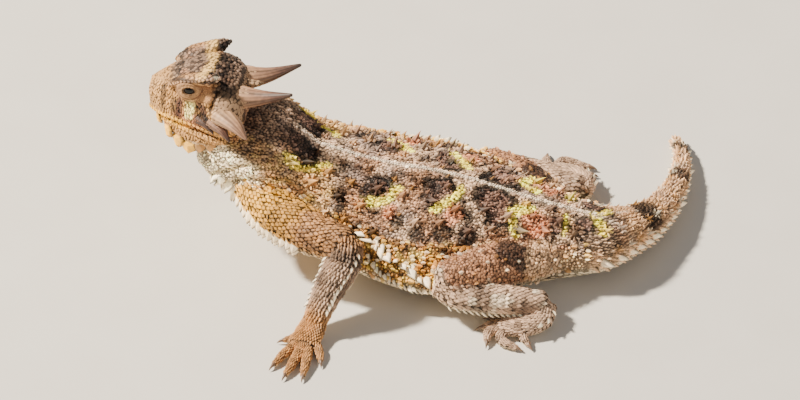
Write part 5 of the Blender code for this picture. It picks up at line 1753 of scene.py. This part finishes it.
# %% Fringes of the flanks, the throat and the tail
def fringe_on(name, s, turn, size, tilt, tone, share=0.85):
    """A row of pointed scales on a form at given lengths, all at one angle."""
    roots, good = settle_on([name], FORMS[name].point(s, turn, -COAT_DEPTH), 0.6)
    size = np.broadcast_to(np.asarray(size, float), (len(s), 3))
    return shade(roots, tone, share), size[good], np.full(good.sum(), tilt)


def leaned(roots, lean):
    """Turn the scales' lie towards a given way, kept along the skin."""
    roots["lie"] = flatten(roots, np.asarray(lean, float))
    return roots


def fringe_through(points, step, size, tilt, lean, share=0.85, on=("torso",)):
    """A row of pale pointed scales along a line through points, on the named forms only."""
    line = np.array(points, float)
    places = on_line(line, np.arange(0, way_along(line)[-1], step))
    roots, _ = settle_on(on, places, math.inf)
    size = np.array(size) * drawn(roots, 0.85, 1.15, 1)
    return shade(leaned(roots, lean), "cream", share), size, np.full(len(size), tilt)


def set_rows(name, rows, kind="blade"):
    """Set several rows as one lot."""
    roots = join(*(row[0] for row in rows))
    size, tilt = (np.concatenate([row[k] for row in rows]) for k in (1, 2))
    set_scales(name, kind, roots, size, tilt=tilt, mottle=0.12)


UPPER_FRINGE = ((-8.6, 16.1, 14.8), (-6.4, 17.0, 14.0), (-4.5, 18.1, 13.1), (-2.0, 19.4, 12.0),
                (0.8, 20.0, 11.2), (3.8, 20.9, 10.0), (5.7, 21.9, 8.9), (11.0, 22.4, 8.6),
                (17.0, 21.0, 9.0), (23.0, 18.0, 9.8))
LOWER_FRINGE = ((-6.0, 18.6, 10.6), (-2.2, 21.8, 8.6), (1.5, 22.3, 6.9), (5.7, 21.9, 5.6),
                (11.0, 21.6, 5.6), (17.0, 19.8, 6.0), (22.0, 17.0, 6.6))
ARM_FRINGE = ((-40.1, -8.8, 17.1), (-38.6, -10.1, 15.3), (-35.9, -8.4, 12.9),
              (-33.6, -11.4, 12.0), (-31.7, -13.9, 11.8), (-29.6, -17.3, 10.2),
              (-25.1, -20.0, 10.0), (-20.6, -22.2, 10.1))
rows = []
for side in (-1, 1):
    out, down = (0.5, side * 0.6, -0.35), (0.6, side * 0.5, -0.7)
    for line, step, size, tilt, lean in (
            (UPPER_FRINGE[:4], 2.0, (2.6, 2.1, 0.5), 0.25, down),
            (UPPER_FRINGE[3:], 2.0, (2.4, 2.2, 0.7), 0.55, out),
            (LOWER_FRINGE, 1.15, (1.3, 1.3, 0.5), 0.5, out)):
        rows.append(fringe_through(np.array(line) * (1, side, 1), step, size, tilt, lean))
for turns, step, wide, long, tone in (
        ((0.0, math.pi), 2.3, 2.2, 2.0, "cream"),
        ((-0.28, math.pi + 0.28, 0.2, math.pi - 0.2), 1.3, 1.0, 1.1, "tail side")):
    line = np.arange(2.0, tail.length - 2.5, step)
    taper = (1 - 0.5 * line / tail.length) * rng.uniform(0.8, 1.15, len(line))
    for turn in turns:
        rows.append(fringe_on("tail", line, turn, np.outer(taper, (wide, long, 0.9)), 0.6, tone,
                              0.75))
for turn in (-0.75, math.pi + 0.75, -1.15, math.pi + 1.15):
    rows.append(fringe_on("neck", np.arange(3.0, 14.5, 1.2), turn, (1.5, 1.2, 0.5), 0.4,
                          "throat"))
for shift, wide, long, tilt in ((2.9, 2.3, 2.0, 0.25), (1.5, 2.2, 1.9, 0.4), (0.2, 1.7, 1.6, 0.6)):
    rows.append(fringe_through(np.array(ARM_FRINGE) + (0.2, -0.5 * shift, shift), 1.7,
                               (wide, long, 0.6), tilt, (-0.4, -0.35, -1.0), 0.7,
                               on=("upper_arm_left", "neck", "torso")))
set_rows("fringes", rows)

# %% [markdown]
# ## Scales of the limbs and the tail
# The upper arm and the shank carry flat scales that overlap in slanting rows, each darkened
# round its rim by painted shade. The thigh is finely granular, and the forearm and the tail
# are rough with keeled scales. Most rows are laid in staggered rings round a form, the way
# roof tiles are, with some disorder, and what the rings leave bare at the joints is filled.

# %% Limb scales
# shape, width across, step along and height of the scales in mm, lift, and unevenness
LIMB_SCALES = {"upper_arm": ("leaf", 1.0, 0.86, 0.36, 0.07, 0.34),
               "forearm": ("keeled", 0.8, 0.72, 0.45, 0.12, 0.4),
               "hand": ("keeled", 0.66, 0.6, 0.34, 0.08, 0.25),
               "thigh": ("smooth", 0.6, 0.56, 0.26, 0.0, 0.42),
               "shank": ("leaf", 0.9, 0.8, 0.3, 0.05, 0.3),
               "foot": ("leaf", 0.7, 0.62, 0.3, 0.06, 0.3),
               "digit": ("keeled", 0.56, 0.5, 0.26, 0.08, 0.2)}


def fill(wanted, roots, spacing):
    """Scattered roots where the wanted skin is bare of the given ones."""
    tree, gap = tree_over(roots["spot"]), np.zeros(len(spots))
    for k in np.nonzero(wanted)[0]:
        gap[k] = tree.find(spots[k])[2]
    return away_from(scatter(gap > 0.62 * spacing, spacing * 0.85), roots, 0.7 * spacing)


def limb_lot(kind, side):
    """Roots and sizes of the scales of one kind of limb part, on one side."""
    shape, wide, step, tall = LIMB_SCALES[kind][:4]
    names = [name for name in NAMES if name.startswith(kind) and side in name]
    mine = np.isin(owner, [OF[name] for name in names])
    if shape == "smooth":
        roots, long = scatter(mine, wide * 0.86), step * 0.78
    else:
        roots, long = join(*(rows_on(name, wide, step) for name in names)), step
        roots = join(roots, fill(mine, roots, wide))
    cover = 0.9 if kind == "upper_arm" else 1.0       # its scales stand apart
    size = np.tile((wide * 1.15 * cover, long * 1.6 * cover, tall), (len(roots["spot"]), 1))
    size[np.sin(roots["angle"]) < -0.35, 2] *= 0.6    # flatter underneath
    return roots, size * drawn(roots, 0.85, 1.15, 1)


for side in ("left", "right"):
    for kind, (shape, *_, lift, mottle) in LIMB_SCALES.items():
        roots, size = limb_lot(kind, side)
        set_scales(f"{kind}_scales_{side}", shape, roots, size, tilt=lift, mottle=mottle)
    on_thigh = scatter(owner == OF[f"thigh_{side}"], 1.9)
    on_thigh = vary(on_thigh, ("cream", "spine", "thigh", "flank ochre"), 0.4)
    set_scales(f"thigh_keels_{side}", "keeled", on_thigh,
               np.outer(drawn(on_thigh, 0.7, 1.15), (1.0, 1.35, 0.8)), tilt=0.25, mottle=0.3)

# %% Tail scales, and rows of larger spines among them
roots = scatter(owner == OF["tail"], 0.56)
part = roots["along"] / tail.length
size = np.outer(1 + 0.25 * part, (0.74, 0.9, 0.4)) * drawn(roots, 0.8, 1.25, 1)
set_scales("tail_scales", "keeled", roots, size, tilt=0.1 + 0.15 * part, mottle=0.35)

line = np.arange(2.0, tail.length - 1.0, 2.7)
places = [tail.point(line + 1.35 * (k % 2), np.full(len(line), turn), -COAT_DEPTH)
          for k, turn in enumerate((0.35, 0.95, math.pi - 0.95, math.pi - 0.35))]
tail_spines, _ = settle_on(["tail"], np.concatenate(places), 0.6)
tail_spines = vary(tail_spines, ("spine", "cream", "flank ochre", "tail"), 0.5)
part = tail_spines["along"] / tail.length
heights = (1.9 - 0.75 * part) * drawn(tail_spines, 0.8, 1.15)
set_scales("spines_tail", "spine", tail_spines, np.outer(heights, (0.8, 1, 1)),
           tilt=-0.35 - 0.35 * part)
set_scales("rosettes_tail", "keeled", rosette(tail_spines, 0.4 * heights, 6),
           np.outer(np.repeat(heights, 6) / 2.1, (0.95, 1.3, 0.75)), tilt=0.35)

# %% Pointed scales on the limbs' edges
# form: rows of start, end, step, angle, height and half width in the solids
LIMB_ROWS = {
    "upper_arm_right": ((6.0, 18.0, 2.4, -0.9, 2.0, 0.9),),
    "forearm_left": ((3.0, 16.0, 2.0, 2.6, 1.3, 0.7), (3.0, 16.0, 2.0, 0.5, 1.3, 0.7)),
    "forearm_right": ((3.0, 11.0, 2.6, 2.6, 1.4, 0.8),),
    "thigh_left": ((14.0, 27.0, 2.6, 2.5, 0.8, 0.55),),
    "thigh_right": ((14.0, 27.0, 2.6, 0.6, 0.8, 0.55),),
    "shank_left": ((4.0, 20.0, 2.0, -2.5, 1.2, 0.8), (4.0, 20.0, 2.6, -0.7, 0.8, 0.55)),
    "shank_right": ((4.0, 20.0, 2.0, -0.6, 1.2, 0.8), (4.0, 20.0, 2.6, -2.4, 0.8, 0.55)),
    "foot_left": ((2.0, 6.0, 2.2, 0.4, 1.3, 0.7),),
    "foot_right": ((2.0, 6.0, 2.2, 2.8, 1.3, 0.7),),
}
rows = []
for name, lines in LIMB_ROWS.items():
    for start, end, step, turn, tall, half in lines:
        line = np.arange(start, min(end, FORMS[name].length), step * 0.62)
        rows.append(fringe_on(name, line, turn, (half * 1.6, tall, 0.5), 0.45, "cream",
                              0.2 if half < 0.6 else 0.75))
set_rows("limb_fringes", rows)

# %% [markdown]
# ## Scales of the head
# The crown is covered with small rough plates that don't overlap, raised and black on the
# back of the head. The cheeks carry longer scales that point down, and the skin round the
# eye is almost bare. Larger scales follow lines: a row over the eye, one along each lip,
# and the big blunt yellow ones under the edge of the jaw.

# %% Plates of the crown, the cheeks and the lids
local = of_head(spots)
on_head = np.isin(owner, (OF["head"], OF["jaw"]))
lid_zone = on_head & (lid_share > 0.35) & (lid_ring < 3.0)
bare = bare_zone(spots, lid_share, lid_ring) > 0.5
hx, hy, hz = local[:, 0], np.abs(local[:, 1]), local[:, 2]
crown = on_head & ~lid_zone & ~bare & (hz > 5.2)
rough = crown & (hx > 3.4)
temple = on_head & ~bare & ~crown & (hx > 3.0) & (hz > -1.5)
cheek = on_head & ~bare & ~crown & ~temple & ~lid_zone & (hy > 3.0) & (hz > -7.0)
rest = on_head & ~bare & ~crown & ~temple & ~cheek & ~lid_zone
for name, kind, zone, gap, size, mottle in (
        ("crown_plates", "smooth", crown & ~rough, 0.62, (0.78, 0.84, 0.1), 0.15),
        ("rough_plates", "plate", rough, 0.66, (0.95, 1.0, 0.55), 0.5),
        ("temple_plates", "smooth", temple, 0.55, (0.8, 0.8, 0.05), 0.08),
        ("snout_plates", "smooth", rest, 0.5, (0.7, 0.74, 0.1), 0.14)):
    roots = scatter(zone, gap)
    width = drawn(roots, 0.85, 1.15)
    if name == "rough_plates":
        roots = vary(roots, ("crown black", "crown pit", "crown"), 0.3)
    set_scales(name, kind, roots, np.outer(width, size), mottle=mottle)
roots = leaned(scatter(cheek, 0.45), (0.35, 0.0, -1.0))
astray = drawn(roots, -0.6, 0.6, 1)
roots["lie"] = unit(roots["lie"] + astray * np.cross(roots["out"], roots["lie"]))
set_scales("cheek_scales", "leaf", roots, np.outer(drawn(roots, 0.75, 1.2), (0.58, 0.85, 0.17)),
           tilt=0.04, mottle=0.28)
set_scales("orbit_grains", "smooth", scatter(on_head & bare & (lid_ring > 2.35), 0.33),
           (0.42, 0.42, 0.02), mottle=0.05)


# %% Scales in lines on the head
def head_line(points, count, side):
    """Places spread evenly along a line through points in the head's frame."""
    line = np.array(points, float) * (1, side, 1)
    return in_head(on_line(line, np.linspace(0, way_along(line)[-1], count)))


BROW_EDGE = ((-5.4, 5.8, 4.6), (-2.6, 7.5, 6.7), (1.2, 8.4, 7.7), (4.0, 8.4, 8.4))
UPPER_LIP = ((-9.8, 1.2, -3.0), (-8.0, 4.6, -2.9), (-4.0, 6.9, -2.6), (1.0, 8.2, -3.5),
             (5.0, 9.4, -4.2))
LOWER_LIP = ((-8.8, 1.2, -4.9), (-7.2, 3.9, -4.9), (-3.6, 6.4, -4.6), (1.0, 7.8, -5.5),
             (5.0, 8.8, -6.3))


def rows_on_head():
    rows = []
    for side in (-1, 1):
        for line, count, size, tilt, tone, share in (
                (BROW_EDGE, 14, (0.75, 0.8, 0.3), 0.1, "crown", 0.4),
                (UPPER_LIP, 19, (0.85, 0.95, 0.35), 0.0, "labial", 0.35),
                (LOWER_LIP, 19, (0.8, 0.9, 0.35), 0.0, "face", 0.5)):
            roots, _ = settle(head_line(line, count, side))
            rows.append((shade(roots, tone, share), np.tile(size, (count, 1)),
                         np.full(count, tilt)))
    return rows


set_rows("head_rows", rows_on_head(), "leaf")


JAW_SCALE = (3.7, 2.7, 1.3)    # width, length and height of the second scale in mm
# Place along the jaw, and size as a share of the second one's
JAW_POINTS = ((-7.4, 0.8), (-5.2, 1.0), (-3.0, 1.15), (-0.6, 1.2), (1.8, 0.8), (4.0, 0.65))


def jaw_points():
    """The big pointed scales under the edge of the jaw, at the places of the solids."""
    jaw, rows = FORMS["jaw"], []
    for side in (-1, 1):
        for k, (x, size) in enumerate(JAW_POINTS):
            drop = 0.66 - 0.03 * k
            turn = -drop if side > 0 else math.pi + drop
            roots, _ = settle(jaw.point([jaw.at_x(x)], turn, -COAT_DEPTH))
            # The last two lie further back under the jaw, and take the darker face tone as painted
            # shade
            roots = leaned(shade(roots, "labial" if k < 4 else "face", 0.95),
                           (-0.15, 0.5 * side, -1.0))
            rows.append((roots, np.array([JAW_SCALE]) * size, np.array([0.2])))
    return rows


set_rows("jaw_points", jaw_points(), "leaf")

# %% [markdown]
# ## Horns, eyes and claws
# Horns are keratin over a bony core, with fine ridges along them and a dark tip. Eyes are
# wet, dark and domed. Claws are short, curved and horn-coloured. All of these are hard,
# and grown into the skin they would lose their crisp foot, so they stay pieces of their own.

# %% Horn material
def horn_finish():
    """Ridged keratin: tan at the foot, near black at the tip, with painted shade between the
    ridges and painted highlight on them.
    """
    finish, tree, shader = new_material("ridged horn keratin", Roughness=0.5)
    grain = pattern(tree, "Noise", 1 / (0.8 * MM), Detail=4.0).outputs["Fac"]
    mixed = maths(tree, "MULTIPLY_ADD", {1: 0.4},
                  {0: grain, 2: attribute(tree, "tip").outputs["Fac"]})
    tone = ramp(tree, maths(tree, "MULTIPLY", {1: 0.78}, {0: mixed}), (0.12, "C8A078"),
                (0.4, "A27B60"), (0.68, "64463A"), (1.0, "2C2220"))
    # Painted shade between the ridges and painted highlight on their crests
    ridge_light = mapped(tree, attribute(tree, "ridge").outputs["Fac"], 0.22, 1.45)
    tree.links.new(multiplied(tree, tone, ridge_light), shader.inputs["Base Color"])
    return finish


HORN_FINISH = horn_finish()


def horn_mesh(name, rows, worn, seed, rings=36, sides=40, ridges=13):
    """A tapered horn with ridges along it, closed at its foot and drawn out to a point."""
    form = Form(rows, place=HEAD_PLACE)
    s, turn = np.meshgrid(np.linspace(0, form.length, rings),
                          np.arange(sides) * 2 * math.pi / sides, indexing="ij")
    part = s / form.length
    wave = 0.6 * np.cos(ridges * turn + 2.0 * part + seed) + 0.4 * np.cos(5 * turn - 3 * part)
    ripple = 0.6 * np.cos(part * 46 + seed + 1.5 * np.cos(turn))
    relief = (0.07 * wave + 0.018 * ripple) * (1 - part)
    points = form.point(s.ravel(), turn.ravel(), 0.0, 1 + relief.ravel())
    tip = form.point([form.length], 0.0, 0.0, 0.0, 0.25)
    last = (rings - 1) * sides
    faces = tube(rings, sides) + fan(last, sides, last + sides) + ends(rings, sides)[:1]
    mesh = closed_mesh(name, metres(np.vstack([points, tip])), faces)
    store(mesh, "tip", "FLOAT", worn[0] + np.append(part.ravel(), 1.0) * (worn[1] - worn[0]))
    # The ridges' relief, which the horn's material turns into painted shade and highlight
    store(mesh, "ridge", "FLOAT", np.append(0.5 + 0.5 * wave.ravel(), 1.0))
    mesh.materials.append(HORN_FINISH)
    mesh.shade_smooth()
    return link(name, mesh)


# %% The eight horns
# From pale (0) to black (1) at the foot and at the tip of each
HORN_SHADES = {"occipital": (0.05, 1.0), "temporal_rear": (0.0, 0.5),
               "temporal_middle": (0.3, 0.9), "temporal_front": (0.8, 1.0)}
for number, (horn, shape) in enumerate(HORNS.items()):
    for side, label in ((-1, "left"), (1, "right")):
        piece = horn_mesh(f"{horn}_horn_{label}", mirrored(horn_rows(*shape), side),
                          HORN_SHADES[horn], number + side)
        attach(piece, "root")
        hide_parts(f"horn_{horn}_{label}")
print("horns made:", 2 * len(HORNS))


# %% Eyes
def eye_finish():
    """A wet eyeball: a black pupil in a dark brown iris, under a clear glossy film."""
    finish, tree, shader = new_material("wet eye", Roughness=0.12, Specular_IOR_Level=0.2,
                                        Coat_Weight=0.15, Coat_Roughness=0.04)
    tone = ramp(tree, attribute(tree, "gaze").outputs["Fac"], (0.0, "060404"), (0.3, "060404"),
                (0.33, "33231A"), (0.45, "1C130E"), (0.5, "0C0806"))
    tree.links.new(tone, shader.inputs["Base Color"])
    return finish


EYE_FINISH = eye_finish()
for side, label in ((-1, "left"), (1, "right")):
    centre, _, out, _ = eye_frame(side)
    points, faces = ball(centre, (EYE_RADIUS,) * 3, 48, 32)
    ray = unit(of_head(points) - centre)
    gaze = np.arccos(np.clip(ray @ out, -1, 1))
    dome = 0.16 * ease(gaze, 0.75, 0.2)
    points = in_head(centre + ray * (EYE_RADIUS - 0.12 + dome)[:, None])
    mesh = closed_mesh("eye", metres(points), faces)
    store(mesh, "gaze", "FLOAT", gaze)
    mesh.materials.append(EYE_FINISH)
    mesh.shade_smooth()
    piece = link(f"eyeball_{label}", mesh)
    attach(piece, "root")
    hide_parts(f"eye_{label}")
print("eyes made: 2")

# %% Claws
def claw_parts(bend, tip, radius, rings=8, sides=10, reach=2.2):
    """A curved claw from the end of a digit, its point turned down to the floor."""
    way = unit(np.array(tip) - np.array(bend))
    start = np.array(tip) - way * 0.4
    side = unit(np.cross(way, (0, 0, 1.0)))
    lift = np.cross(side, way)
    points = []
    for r in range(rings):
        part = r / (rings - 1)
        middle = start + way * reach * part + lift * (0.35 * math.sin(2.2 * part) - 0.55 * part**2)
        size = radius * 0.5 * (1 - part) ** 0.75 + 0.02
        for k in range(sides):
            turn = 2 * math.pi * k / sides
            points.append(middle + side * size * 0.75 * math.cos(turn)
                          + lift * size * math.sin(turn))
    return np.array(points), tube(rings, sides) + ends(rings, sides)


def claw_finish():
    """Thin dark horn, smooth and a little glossy."""
    finish, tree, shader = new_material("claw horn", Roughness=0.32)
    grain = pattern(tree, "Noise", 1 / (0.6 * MM)).outputs["Fac"]
    tree.links.new(ramp(tree, grain, (0.0, "4A382E"), (1.0, "94765E")),
                   shader.inputs["Base Color"])
    return finish


CLAW_FINISH = claw_finish()
for limb, digits in DIGITS.items():
    mesh = pile([claw_parts(*shape) for _, *shape in digits])
    rest_on_floor(mesh, metres(coordinates(mesh)), FLOOR_CLEARANCE * MM)
    mesh.materials.append(CLAW_FINISH)
    mesh.shade_smooth()
    piece = link(f"claws_{limb}", mesh)
    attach(piece, "root")
print("claws made:", sum(len(digits) for digits in DIGITS.values()))
print("coat triangles:", sum(len(triangles(piece.data)) for piece in coat))
